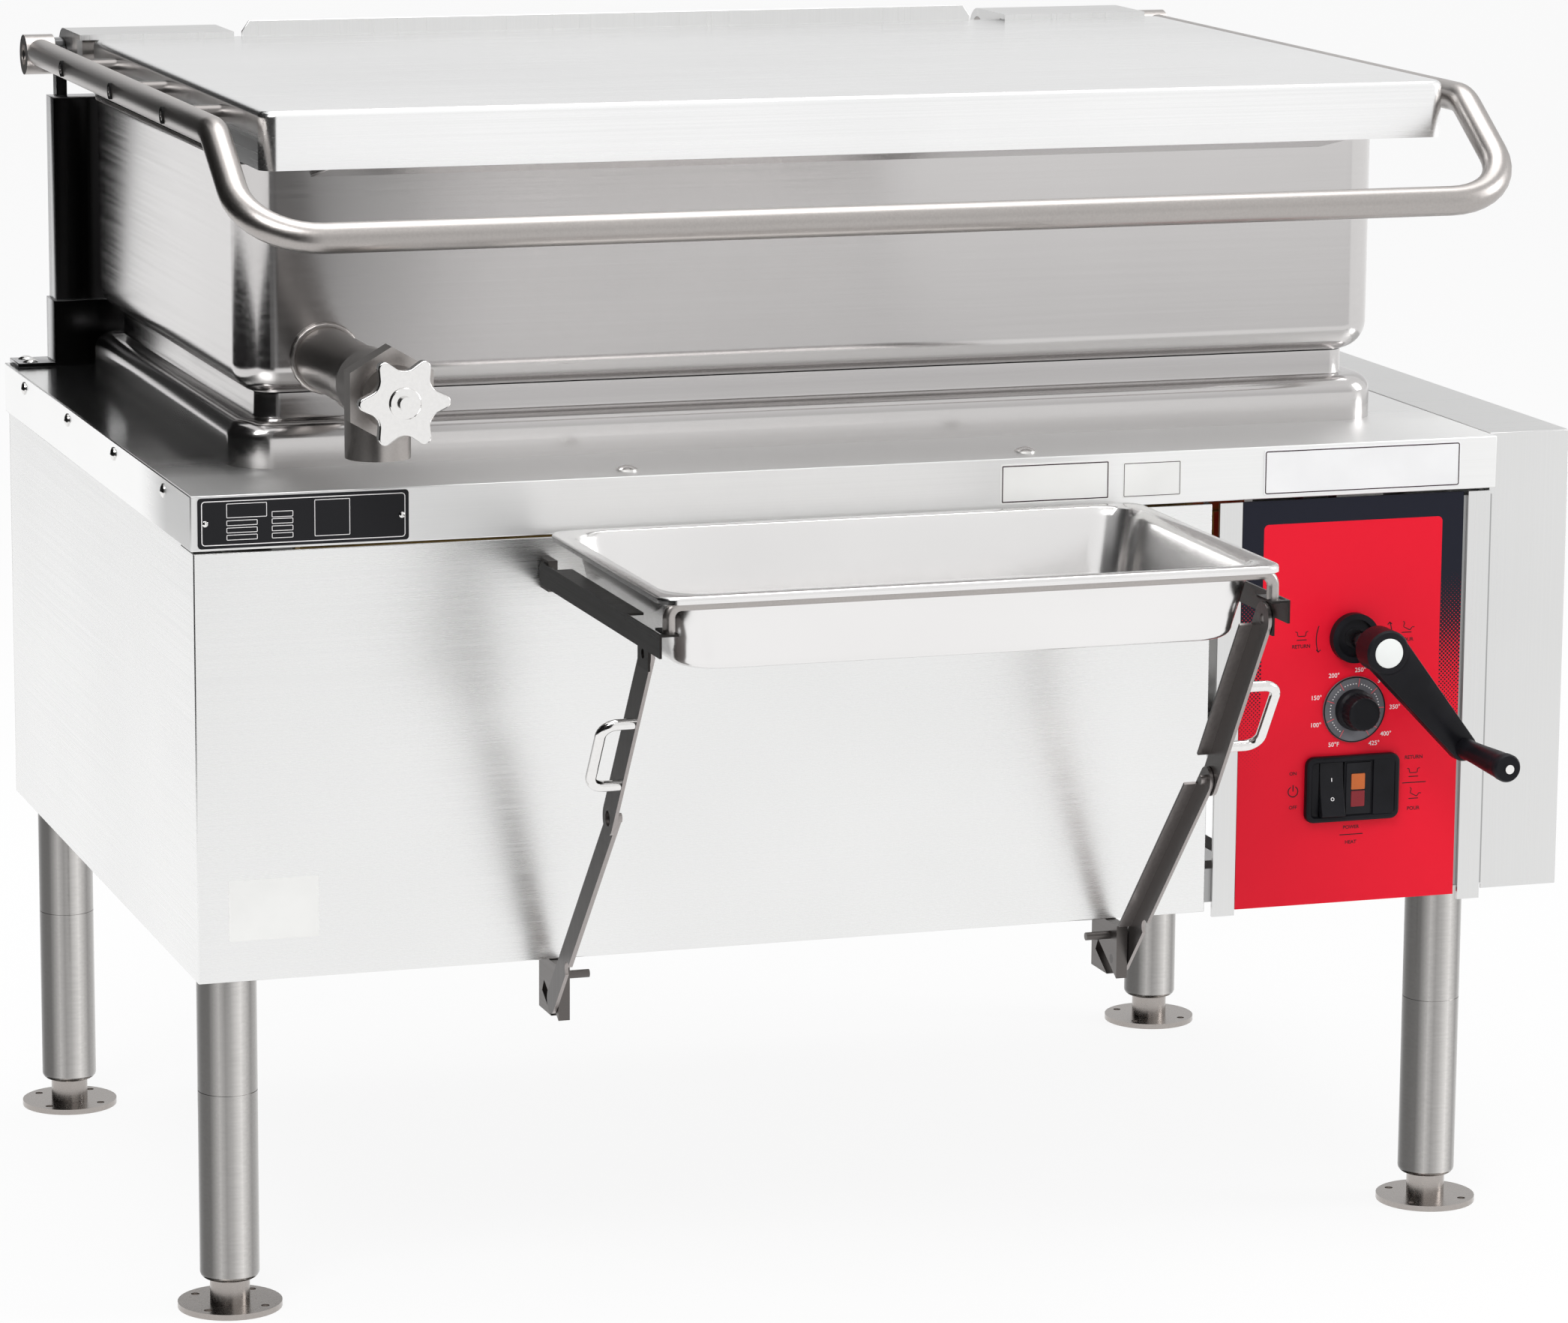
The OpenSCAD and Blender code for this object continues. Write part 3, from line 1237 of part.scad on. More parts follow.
// Closed skin of round rings, one at each station
module ring_skin(stations, n, r) {
    last = len(stations) - 1;
    pts = [for (s = stations) let (u = unit(cross(s[1], n)), v = cross(u, s[1]))
        for (k = [0 : hull_fn - 1]) s[0] + r * (u * cos(360 * k / hull_fn) + v * sin(360 * k / hull_fn))];
    sides = [for (i = [0 : last - 1], k = [0 : hull_fn - 1])
        let (a = i * hull_fn + k, b = i * hull_fn + (k + 1) % hull_fn)
            [[a, b, b + hull_fn], [a, b + hull_fn, a + hull_fn]]];
    polyhedron(points = pts, faces = concat(
        [for (f = sides) f[0]], [for (f = sides) f[1]],
        [[for (k = [hull_fn - 1 : -1 : 0]) k]],
        [[for (k = [0 : hull_fn - 1]) last * hull_fn + k]]));
}
module lid_handle() {
    p = [
        [handle_xs[0], handle_end_y, handle_z],
        [handle_xs[0], handle_bend_y, handle_z],
        [handle_xs[0], handle_front_y, handle_front_z],
        [handle_xs[1], handle_front_y, handle_front_z],
        [handle_xs[1], handle_bend_y, handle_z],
        [handle_xs[1], handle_end_y, handle_z]
    ];
    d = [for (i = [0 : 4]) unit(p[i + 1] - p[i])];
    r = [handle_bend_r, handle_corner_r, handle_corner_r, handle_bend_r];
    n = cross([1, 0, 0], d[1]);
    color("silver")
        ring_skin(concat(
            [[p[0], d[0]]], bend_at(p[1], d[0], d[1], r[0]), bend_at(p[2], d[1], d[2], r[1]),
            bend_at(p[3], d[2], d[3], r[2]), bend_at(p[4], d[3], d[4], r[3]), [[p[5], d[4]]]), n, handle_r);
}
module handle_bolts() {
    color("gray")
        for (s = [-1, 1], k = bolt_shares) {
            y = lid_y0 + lid_d * k;
            side = s < 0 ? lid_x0 : lid_x1;
            tube = s < 0 ? handle_xs[0] : handle_xs[1];
            difference() {
                bar_x(min(side, tube), max(side, tube), y, handle_z, standoff_r);
                bar_y(tube, y - standoff_r * 2, y + standoff_r * 2, handle_z, handle_r);
            }
        }
}
crank_hub_y0 = crank_hub_y - crank_hub_l;
crank_back_share = 0.35;
crank_web_share = 0.6;
crank_tip_share = 0.5;
grip_seat_share = 0.85;
crank_cap_t = 3;
crank_pin_cap = 4;
// Tapered arm: a large hub on the shaft and a small boss for the grip
module crank_arm() {
    color("black")
        translate([crank_x, crank_hub_y, crank_z]) rotate([90, 0, 0]) rotate([0, 0, crank_angle])
            difference() {
                union() {
                    cylinder(r = crank_hub_r, h = crank_hub_l, $fn = mid_fn);
                    translate([0, 0, crank_hub_l * crank_back_share]) hull() {
                        cylinder(r = crank_hub_r, h = crank_hub_l * crank_web_share, $fn = hull_fn);
                        translate([crank_r, 0, 0])
                            cylinder(r = grip_r, h = crank_hub_l * crank_tip_share, $fn = hull_fn);
                    }
                }
                translate([0, 0, -overrun]) cylinder(r = crank_shaft_r, h = crank_hub_l - crank_cap_t, $fn = mid_fn);
                translate([crank_r, 0, -overrun]) cylinder(r = grip_pin_r, h = crank_hub_l * 2, $fn = mid_fn);
            }
}
grip_pin_r = 4;
grip_y0 = crank_hub_y - crank_hub_l * grip_seat_share;
grip_x = crank_r * cos(crank_angle);
grip_dz = crank_r * sin(crank_angle);
module crank_shaft() {
    color("gray") {
        bar_y(crank_x, crank_hub_y0 + crank_pin_cap, crank_shaft_end - skin_gap, crank_z, crank_shaft_r);
        bar_y(crank_x + grip_x, grip_y0 - grip_l - crank_pin_cap, crank_hub_y - crank_hub_l * crank_back_share,
              crank_z + grip_dz, grip_pin_r);
    }
}
grip_root_l = 8;
grip_start = 6;
grip_end_l = 13;
grip_shares = [0.85, 1.05, 1.12];
module crank_grip() {
    color("black")
        translate([crank_x + grip_x, grip_y0 - ear_gap, crank_z + grip_dz]) rotate([90, 0, 0])
            difference() {
                union() {
                    translate([0, 0, grip_start])
                        cylinder(r1 = grip_r * grip_shares[0], r2 = grip_r * grip_shares[1],
                                 h = grip_l - grip_start - grip_end_l + skin_gap, $fn = mid_fn);
                    cylinder(r = grip_r * grip_shares[0], h = grip_root_l, $fn = mid_fn);
                    translate([0, 0, grip_l - grip_end_l]) cylinder(r = grip_r * grip_shares[2], h = grip_end_l, $fn = mid_fn);
                }
                translate([0, 0, -overrun]) cylinder(r = grip_pin_r + run_gap, h = grip_l + 2 * overrun, $fn = mid_fn);
            }
}
// Screw of the jack, with the eye and pin that run in the cam slots
eye_r = 16;
module jack_screw() {
    color("gray") {
        bar_z(jack_x, jack_y, jack_low_z, jack_pin_z, jack_r);
        bar_x(jack_x - eye_t / 2, jack_x + eye_t / 2, jack_y, jack_pin_z, eye_r);
        bar_x(cam_xs[0] - cam_gap * 2, cam_xs[1] + cam_t + cam_gap * 2, jack_y, jack_pin_z, jack_pin_r);
    }
}
dial_t = 4;
dial_h = 20;
dial_taper_share = 0.88;
module thermostat_dial() {
    color("black")
        translate([dial_x, panel_y - seat_gap, dial_z]) rotate([90, 0, 0]) {
            cylinder(r = dial_r, h = dial_t, $fn = fine_fn);
            translate([0, 0, dial_t]) cylinder(r1 = dial_knob_r, r2 = dial_knob_r * dial_taper_share, h = dial_h, $fn = fine_fn);
            translate([0, 0, -control_t - dial_body[1] * dial_depth_share])
                cylinder(r = dial_shaft_r, h = control_t + dial_body[1] * dial_depth_share + overrun, $fn = mid_fn);
        }
}
tray_a = [tray_x + tray_rim, tray_front_y + tray_rim];
tray_b = [tray_x1 - tray_rim, tray_back_y - tray_rim];
// Tapered food pan with round corners and a rolled rim
module tray() {
    wall = [tray_t, tray_t];
    taper = [tray_taper, tray_taper];
    color("gainsboro")
        difference() {
            union() {
                hull() {
                    slice(tray_a, tray_b, tray_corner_r, 0, tray_rim_z - overrun, thin);
                    slice(tray_a + taper / 2, tray_b - taper / 2, tray_corner_r, 0, tray_rim_z - tray_h + tray_floor_r, thin);
                    slice(tray_a + taper, tray_b - taper, tray_corner_r, tray_floor_in, tray_rim_z - tray_h, thin);
                }
                translate([0, 0, tray_rim_z - tray_lip_t]) linear_extrude(tray_lip_t)
                    rounded([tray_x, tray_front_y], [tray_x1, tray_back_y], tray_corner_r * tray_rim_share);
                difference() {
                    translate([0, 0, tray_rim_z - tray_rim_h]) linear_extrude(tray_rim_h)
                        rounded([tray_x, tray_front_y], [tray_x1, tray_back_y], tray_corner_r * tray_rim_share);
                    translate([0, 0, tray_rim_z - tray_rim_h - overrun]) linear_extrude(tray_rim_h + 2 * overrun)
                        rounded([tray_x + tray_lip_t, tray_front_y + tray_lip_t],
                                [tray_x1 - tray_lip_t, tray_back_y - tray_lip_t],
                                tray_corner_r * tray_rim_share - tray_lip_t);
                }
            }
            hull() {
                slice(tray_a + wall, tray_b - wall, tray_corner_r, 0, tray_rim_z, overrun);
                slice(tray_a + taper / 2 + wall, tray_b - taper / 2 - wall, tray_corner_r, 0,
                      tray_rim_z - tray_h + tray_floor_r, thin);
                slice(tray_a + taper + wall, tray_b - taper - wall, tray_corner_r, tray_floor_in,
                      tray_rim_z - tray_h + tray_t, thin);
            }
        }
}
lower_v = [knuckle_y - foot_pin_y, knuckle_z - foot_pin_z];
lower_dir = atan2(lower_v[1], lower_v[0]);
upper_v = [grip_y - knuckle_y, grip_z - knuckle_z];
upper_dir = atan2(upper_v[1], upper_v[0]);
arm_pin_r = 4;
flange_start = 18;
flange_t = 2.4;
hook_at = 62;
hook_r = 7;
pin_head = 3;
pin_head_r = 3.2;
knuckle_pin_l = 5;
knuckle_hole_r = 6.4;
// Folded link in the YZ plane: a web with round ends and a flange along one edge
module link(l, w, out, flange_from, flange_to, pin) {
    translate([out - arm_t, 0, 0]) {
        rotate([90, 0, 90]) linear_extrude(arm_t)
            difference() {
                union() {
                    translate([0, -w / 2]) square([l, w]);
                    circle(r = w / 2, $fn = mid_fn);
                    translate([l, 0]) circle(r = w / 2, $fn = mid_fn);
                }
                circle(r = pin, $fn = mid_fn);
            }
    }
    block([out - arm_flange, flange_from, -w / 2], [out - arm_t, l - flange_to, -w / 2 + flange_t]);
}
module both_sides() {
    for (s = [0, 1]) translate([tray_mid_x, 0, 0]) mirror([s, 0, 0]) children();
}
// Lower arms with the hook notch near the foot pin
module lower_arms() {
    color("dimgray") both_sides() {
        difference() {
            translate([0, foot_pin_y, foot_pin_z]) rotate([lower_dir, 0, 0])
                link(lower_l, lower_w, lower_out, flange_start * 2, flange_start, holder_pin_r);
            translate([lower_out - arm_t, foot_pin_y, foot_pin_z]) rotate([lower_dir, 0, 0])
                translate([-overrun, hook_at, lower_w / 2]) rotate([0, 90, 0])
                    cylinder(r = hook_r, h = arm_t + 2 * overrun, $fn = mid_fn);
        }
        bar_x(bracket_in, lower_out, foot_pin_y, foot_pin_z, holder_pin_r);
        bar_x(lower_out - arm_t - pin_head, lower_out - arm_t, foot_pin_y, foot_pin_z, pin_head_r);
        bar_x(lower_out - arm_t - knuckle_pin_l, lower_out, knuckle_y, knuckle_z, arm_pin_r);
    }
}
module upper_arms() {
    color("dimgray") both_sides() {
        translate([0, knuckle_y, knuckle_z]) rotate([upper_dir, 0, 0])
            difference() {
                link(upper_l, upper_w, upper_out, flange_start, flange_start, knuckle_hole_r);
                translate([upper_out - arm_t - overrun, upper_l, 0]) rotate([0, 90, 0])
                    cylinder(r = arm_pin_r, h = arm_t + 2 * overrun, $fn = mid_fn);
            }
    }
}
pull_n = 9;
pull_s = 48;
pull_bend_r = 12;
// Bow handles bolted to the outer faces of the upper arms
module arm_pulls() {
    color("silver") both_sides()
        translate([0, knuckle_y, knuckle_z]) rotate([upper_dir, 0, 0])
            bent_bar([
                [upper_out, pull_s, pull_n],
                [upper_out + pull_out, pull_s, pull_n],
                [upper_out + pull_out, pull_s + pull_len, pull_n],
                [upper_out, pull_s + pull_len, pull_n]
            ], [0, pull_bend_r, pull_bend_r, 0], pull_r);
}
web_drop = 10;
web_pad = 14;
web_pad_low = 12;
flange_back = 30;
lug_pin_l = 6.4;
web_z0 = holder_z - web_drop;
web_z1 = web_z0 + angle_h;
web_front = 4;
web_front_y = tray_front_y - web_front;
// The upper arms pass the front of the angles while they fold, so their flange is open there
pass_front = 4.6;
pass_slot = 4;
foot_strip = 31;
pass_l = 95;
// Side angles of the tray holder, hinged on the cabinet lugs
module holder_angles() {
    color("dimgray") both_sides() {
        difference() {
            union() {
                block([angle_out - angle_t, web_front_y, web_z0], [angle_out, holder_y, web_z1]);
                block([angle_out - angle_t, grip_y - web_pad, grip_z - web_pad_low], [angle_out, grip_y + web_pad, web_z0]);
                bar_x(angle_out - angle_t, angle_out, holder_y, holder_z, angle_h / 2);
            }
            bar_x(angle_out - angle_t * 2, angle_out + overrun, grip_y, grip_z, arm_pin_r);
            bar_x(angle_out - angle_t * 2, angle_out + overrun, holder_y, holder_z, holder_pin_r);
        }
        block([angle_out - angle_flange, web_front_y, web_z1 - angle_t],
              [angle_out - angle_t, web_front_y + pass_front, web_z1]);
        block([angle_out - angle_flange, web_front_y, web_z1 - angle_t],
              [angle_out - angle_t - pass_slot, web_front_y + foot_strip, web_z1]);
        block([angle_out - angle_flange, web_front_y + pass_l, web_z1 - angle_t],
              [angle_out - angle_t, tray_back_y - flange_back, web_z1]);
        bar_x(angle_out - angle_t - lug_pin_l, angle_out, holder_y, holder_z, holder_pin_r);
    }
}
rod_y = tray_front_y + tray_lip_t + rod_r + seat_gap * 2;
rod_z = tray_rim_z - tray_lip_t - rod_r - seat_gap;
rod_inset = 4;
rod_bend_r = 10;
rod_x = angle_out - angle_t - rod_inset - rod_r;
// Round rod that rises from the angles and runs across under the front rim
module holder_rod() {
    color("silver")
        translate([tray_mid_x, 0, 0])
            bent_bar([
                [-rod_x, rod_y, web_z1], [-rod_x, rod_y, rod_z], [rod_x, rod_y, rod_z], [rod_x, rod_y, web_z1]
            ], [0, rod_bend_r, rod_bend_r, 0], rod_r);
}

placed() base_frame();
placed() corner_posts();
placed() leg_tubes();
placed() flanged_feet();
placed() side_panel();
placed() back_panel();
placed() front_panel();
placed() side_box();
placed() trim_columns();
placed() control_panel();
placed() heat_box();
placed() burner_tubes();
placed() gas_manifold();
placed() gas_valve();
placed() pivot_brackets();
placed() crank_bearing();
placed() jack_gearbox();
placed() thermostat_body();
placed() switch_housing();
placed() indicator_lens();
placed() arm_brackets();
placed() holder_lugs();
placed() deck();
placed() pan_skirt();
placed() pan_shell();
placed() pan_base_plate();
placed() pivot_ears();
placed() pivot_pins();
placed() hinge_posts();
placed() hinge_shaft();
placed() lift_cams();
placed() valve_body();
placed() valve_cap_nut();
placed() deck_screws();
placed() rating_plate();
placed() name_plate();
placed() lid_shell();
placed() lid_sleeves();
placed() hinge_barrels();
placed() lid_handle();
placed() handle_bolts();
placed() valve_stem();
placed() valve_knob();
placed() crank_arm();
placed() crank_shaft();
placed() crank_grip();
placed() jack_screw();
placed() thermostat_dial();
placed() power_rocker();
placed() gas_valve_lever();
placed() tray();
placed() lower_arms();
placed() upper_arms();
placed() arm_pulls();
placed() holder_angles();
placed() holder_rod();
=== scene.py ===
import math

import bmesh
import bpy
import numpy as np
from bpy.props import FloatProperty, FloatVectorProperty, IntProperty, PointerProperty
from mathutils import Matrix, Vector


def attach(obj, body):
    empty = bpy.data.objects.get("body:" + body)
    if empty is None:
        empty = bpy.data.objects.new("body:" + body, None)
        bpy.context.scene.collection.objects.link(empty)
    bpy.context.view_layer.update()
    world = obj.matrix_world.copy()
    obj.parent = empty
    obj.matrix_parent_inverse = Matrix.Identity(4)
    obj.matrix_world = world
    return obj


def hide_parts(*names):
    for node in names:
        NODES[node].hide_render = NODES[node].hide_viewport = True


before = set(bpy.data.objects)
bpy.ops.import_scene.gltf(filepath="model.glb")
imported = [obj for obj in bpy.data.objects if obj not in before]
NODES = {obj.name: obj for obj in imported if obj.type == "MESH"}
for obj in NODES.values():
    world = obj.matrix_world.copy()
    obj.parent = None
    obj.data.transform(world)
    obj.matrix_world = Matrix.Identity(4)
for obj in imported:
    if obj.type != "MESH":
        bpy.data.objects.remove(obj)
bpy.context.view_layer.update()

bl_info = {
    "name": "Tilting braising pan",
    "version": (1, 0, 0),
    "blender": (4, 5, 0),
    "location": "3D View > Sidebar > Braising Pan",
    "description": "Dresses a tilting braising pan frame with brushed steel, controls and fittings",
    "category": "Object",
}

# The frame's origin lies 2.25 mm left of the middle of the width and 236 mm behind the deck's front edge
SHIFT = np.array([2.25, -236.0, 0.0])
# Width of the photograph in pixels, in which the camera's focal length is given
IMAGE_W = 2091

# Boxes in plan are left, front, right and rear. Upright boxes are left, bottom, right and top
DECK_Z = 709.0
PAN = (-552.0, 120.0, 482.0, 716.0)
RIM = (-550.0, 119.0, 492.0, 722.0)
RIM_Z, PAN_Z0 = 967.4, 769.4
LID = (-550.0, 44.0, 508.0, 722.0)
LID_Z0, LID_Z1 = 968.0, 1017.0
HINGE_Y, HINGE_Z, STUB_END = 785.0, 998.0, -600.6
TRAY = (-324.0, -337.0, 203.0, -13.0)
TRAY_Z, TRAY_H = 669.0, 65.0
VALVE_X, VALVE_Z = -479.0, 801.0
CRANK = (414.0, 536.0)
DIAL = (416.5, 471.5)
SWITCH = (371.0, 372.0, 460.0, 431.0)
ROCKER = (384.0, 376.2, 406.5, 424.8)
PANEL_FACE_Y = 3.0
# Red field of the control panel film: left, right and top, and where its dotted border starts and ends
FIELD = (328.0, 497.0, 639.5)
FADE = (408.0, 600.0)
DOT_PITCH, FIELD_CORNER = 3.6, 4.5
# Directions, and the kinds of ray that don't see a card
RIGHT, UP, FORWARD, LEFT = (1, 0, 0), (0, 0, 1), (0, -1, 0), (-1, 0, 0)
HIDDEN_RAYS = ("camera", "diffuse", "shadow", "transmission", "volume_scatter")


# Settings

class PanLooks(bpy.types.PropertyGroup):
    """Colours and finish that a user would change"""
    sheet: FloatVectorProperty(name="Sheet steel", description="Colour of the brushed cabinet sheet",
                               subtype="COLOR", size=3, default=(0.82, 0.82, 0.815), min=0, max=1)
    # The pan's colour is darker than the sheet's: partly a different polish, partly painted shade of the
    # lid's overhang
    pan: FloatVectorProperty(name="Pan steel", description="Colour of the satin pan body",
                             subtype="COLOR", size=3, default=(0.58, 0.565, 0.56), min=0, max=1)
    panel_red: FloatVectorProperty(name="Panel red", description="Colour of the control panel film",
                                   subtype="COLOR", size=3, default=(0.80, 0.008, 0.028), min=0, max=1)
    panel_navy: FloatVectorProperty(name="Panel navy", description="Colour of the border of the panel film",
                                    subtype="COLOR", size=3, default=(0.010, 0.011, 0.020), min=0, max=1)
    brush_depth: FloatProperty(name="Brush depth", description="Strength of the brushed grain",
                               subtype="FACTOR", default=0.08, min=0, max=1)


class PanShapes(bpy.types.PropertyGroup):
    """Sizes of the dressed pieces"""
    handle_radius: FloatProperty(name="Handle radius", description="Radius of the lid handle tube in mm",
                                 default=12.7, min=8, max=16)
    sheet_edge: FloatProperty(name="Sheet edge", description="Bend radius of folded sheet edges in mm",
                              default=1.6, min=0.3, max=3)
    corner_steps: IntProperty(name="Corner steps", description="Faces round each corner of a pressed form",
                              default=14, min=4, max=32)
    tube_steps: IntProperty(name="Tube steps", description="Faces round a tube", default=40, min=12, max=96)


def looks():
    return bpy.context.scene.pan_looks


def shapes():
    return bpy.context.scene.pan_shapes


# Materials

def node_graph(name):
    """A new material with its node tree and its shader"""
    mat = bpy.data.materials.new(name)
    mat.use_nodes = True
    tree = mat.node_tree
    return mat, tree, tree.nodes["Principled BSDF"]


def add(tree, kind, **values):
    """A new node: a value goes to the socket of its name, or else to the node's setting"""
    node = tree.nodes.new(kind)
    for key, value in values.items():
        if key in node.inputs.keys():
            node.inputs[key].default_value = value
        else:
            setattr(node, key, value)
    return node


def math_node(tree, operation, *values):
    """Result of a Math node whose inputs are numbers or other nodes' sockets"""
    node = add(tree, "ShaderNodeMath", operation=operation)
    for socket, value in zip(node.inputs, values):
        if isinstance(value, (int, float)):
            socket.default_value = value
        else:
            tree.links.new(value, socket)
    return node.outputs[0]


def map_range(tree, value, *limits, kind="LINEAR"):
    """Result of a Map Range node. The limits are from min, from max, to min and to max"""
    node = add(tree, "ShaderNodeMapRange", interpolation_type=kind)
    tree.links.new(value, node.inputs["Value"])
    for key, number in zip(("From Min", "From Max", "To Min", "To Max"), limits):
        node.inputs[key].default_value = number
    return node.outputs["Result"]


def split_axes(tree, kind="Object"):
    """The X, Y and Z sockets of the piece's own coordinates, or of its normal"""
    coords = tree.nodes.new("ShaderNodeTexCoord")
    split = tree.nodes.new("ShaderNodeSeparateXYZ")
    tree.links.new(coords.outputs[kind], split.inputs["Vector"])
    return split.outputs


def laid(tree, scale):
    """The piece's own coordinates, scaled along each axis"""
    coords = tree.nodes.new("ShaderNodeTexCoord")
    mapping = add(tree, "ShaderNodeMapping", Scale=scale)
    tree.links.new(coords.outputs["Object"], mapping.inputs["Vector"])
    return mapping.outputs["Vector"]


def noise(tree, scale, detail, vector=None, roughness=0.5):
    """Value of a noise texture, on the piece's own coordinates where no others are given"""
    node = add(tree, "ShaderNodeTexNoise", Scale=scale, Detail=detail, Roughness=roughness)
    tree.links.new(vector or laid(tree, (1, 1, 1)), node.inputs["Vector"])
    return node.outputs["Fac"]


def ramp(tree, fac, stops):
    node = tree.nodes.new("ShaderNodeValToRGB")
    band = node.color_ramp
    while len(band.elements) < len(stops):
        band.elements.new(0.5)
    for element, (pos, color) in zip(band.elements, stops):
        element.position = pos
        element.color = (*color, 1)
    tree.links.new(fac, node.inputs["Fac"])
    return node.outputs["Color"]


def multiply(tree, first, second):
    """Product of two colours"""
    mix = add(tree, "ShaderNodeMix", data_type="RGBA", blend_type="MULTIPLY")
    mix.inputs["Factor"].default_value = 1.0
    tree.links.new(first, mix.inputs[6])
    tree.links.new(second, mix.inputs[7])
    return mix.outputs[2]


def relief(tree, shader, height, strength, distance):
    """Bump on the shader's normal"""
    bump = add(tree, "ShaderNodeBump", Strength=strength, Distance=distance)
    tree.links.new(height, bump.inputs["Height"])
    tree.links.new(bump.outputs["Normal"], shader.inputs["Normal"])


def grey(v):
    return (v, v, v)


def toned(color, factor):
    """A colour made lighter or darker, up to full white"""
    return tuple(np.minimum(np.array(color) * factor, 1))


def brush_coords(tree, fine, long, upright=False):
    """Object coordinates drawn out along the brush lines. The lines run across on faces that look
    forward or up, and back on faces that look sideways, or up and down on an upright finish"""
    normal = split_axes(tree, "Normal")
    # A face looks along an axis where its normal is more than this share along it
    facing_share = 0.7

    def choose(axis, other, facing):
        side = math_node(tree, "GREATER_THAN", math_node(tree, "ABSOLUTE", normal[axis]), facing_share)
        mix = add(tree, "ShaderNodeMix", data_type="VECTOR")
        tree.links.new(side, mix.inputs["Factor"])
        tree.links.new(other, mix.inputs[4])
        tree.links.new(facing, mix.inputs[5])
        return mix.outputs[1]

    across = laid(tree, (long, fine, fine))
    if upright:
        return choose("Z", laid(tree, (fine, fine, long)), across)
    return choose("X", across, laid(tree, (fine, long, fine)))


def steel(name, color, rough=0.28, grain=(700, 2.5, False), depth=0.08, cloud=0.04, metallic=1.0,
          streaks=0.06):
    """Brushed steel: a noise drawn out along the brush lines sets bump, roughness and faint streaks,
    and a broad soft noise makes the sheet a little uneven in tone"""
    mat, tree, shader = node_graph(name)
    lines = noise(tree, 1.0, 4.0, brush_coords(tree, *grain), 0.6)
    soft = noise(tree, 2.6, 3.0)
    tone = ramp(tree, soft, [(0.25, toned(color, 1 - cloud)), (0.75, toned(color, 1 + cloud))])
    streak = ramp(tree, lines, [(0.3, grey(1 - streaks)), (0.7, grey(1.0))])
    gloss = ramp(tree, lines, [(0.25, grey(max(rough - 0.04, 0.02))), (0.75, grey(rough + 0.04))])
    tree.links.new(multiply(tree, tone, streak), shader.inputs["Base Color"])
    tree.links.new(gloss, shader.inputs["Roughness"])
    relief(tree, shader, lines, depth, 0.0004)
    shader.inputs["Metallic"].default_value = metallic
    return mat


def steel_painted_by_facing(name, color, rough, tones, grain=(500, 30, False), depth=0.08, axis="X"):
    """Steel of a round leg or a post with painted reflections and painted shade: the tone follows the
    way the surface faces, in bands that stay on the piece. The tones run from the left side to the
    right side, or from the front to the back"""
    mat = steel(name, color, rough, grain, depth, streaks=0.12)
    tree = mat.node_tree
    base = tree.nodes["Principled BSDF"].inputs["Base Color"]
    plain = base.links[0].from_socket
    # Painted reflections and shade: the tone is read from the face's own normal
    facing = math_node(tree, "MULTIPLY_ADD", split_axes(tree, "Normal")[axis], 0.5, 0.5)
    bands = ramp(tree, facing, [(pos, grey(v)) for pos, v in tones])
    tree.links.new(multiply(tree, plain, bands), base)
    return mat


def deck_steel(name, color, depth):
    """Deck sheet: a rubbed, softer front edge strip, and a smoother surface beside and behind the pan"""
    mat = steel(name, color, 0.16, (700, 2.5, False), depth, streaks=0.03)
    tree = mat.node_tree
    rough = tree.nodes["Principled BSDF"].inputs["Roughness"]
    plain = rough.links[0].from_socket
    edge = float(PAN[1] + SHIFT[1]) / 1000
    strip = map_range(tree, split_axes(tree)["Y"], edge - 0.03, edge + 0.08, 0.28, 0.0)
    tree.links.new(math_node(tree, "ADD", plain, strip), rough)
    return mat


def moulded(name, color, tones, gloss, grain, soft, bump, specular):
    """One colour whose tone and sheen are softly uneven, with a fine grain as its bump"""
    mat, tree, shader = node_graph(name)
    uneven = noise(tree, *soft)
    shades = ramp(tree, uneven, [(0.3, toned(color, tones[0])), (0.7, toned(color, tones[1]))])
    sheen = ramp(tree, uneven, [(0.3, grey(gloss[0])), (0.7, grey(gloss[1]))])
    tree.links.new(shades, shader.inputs["Base Color"])
    tree.links.new(sheen, shader.inputs["Roughness"])
    relief(tree, shader, noise(tree, grain, 2.0), *bump)
    shader.inputs["Specular IOR Level"].default_value = specular
    return mat


def cast_black(name, color, rough):
    """Moulded black plastic with a fine grain and a slightly uneven sheen"""
    return moulded(name, color, (0.8, 1.5), (rough - 0.05, rough + 0.08), 1400, (30.0, 2.0),
                   (0.08, 0.0003), 0.14)


def painted(name, color, rough, speck=0.04, coat=0.0):
    """Film or paint: one colour with faint mottling and a fine orange-peel bump"""
    mat = moulded(name, color, (1 - speck, 1 + speck), (rough - 0.03, rough + 0.05), 420.0, (14.0, 3.0),
                  (0.05, 0.0002), 0.2)
    mat.node_tree.nodes["Principled BSDF"].inputs["Coat Weight"].default_value = coat
    return mat


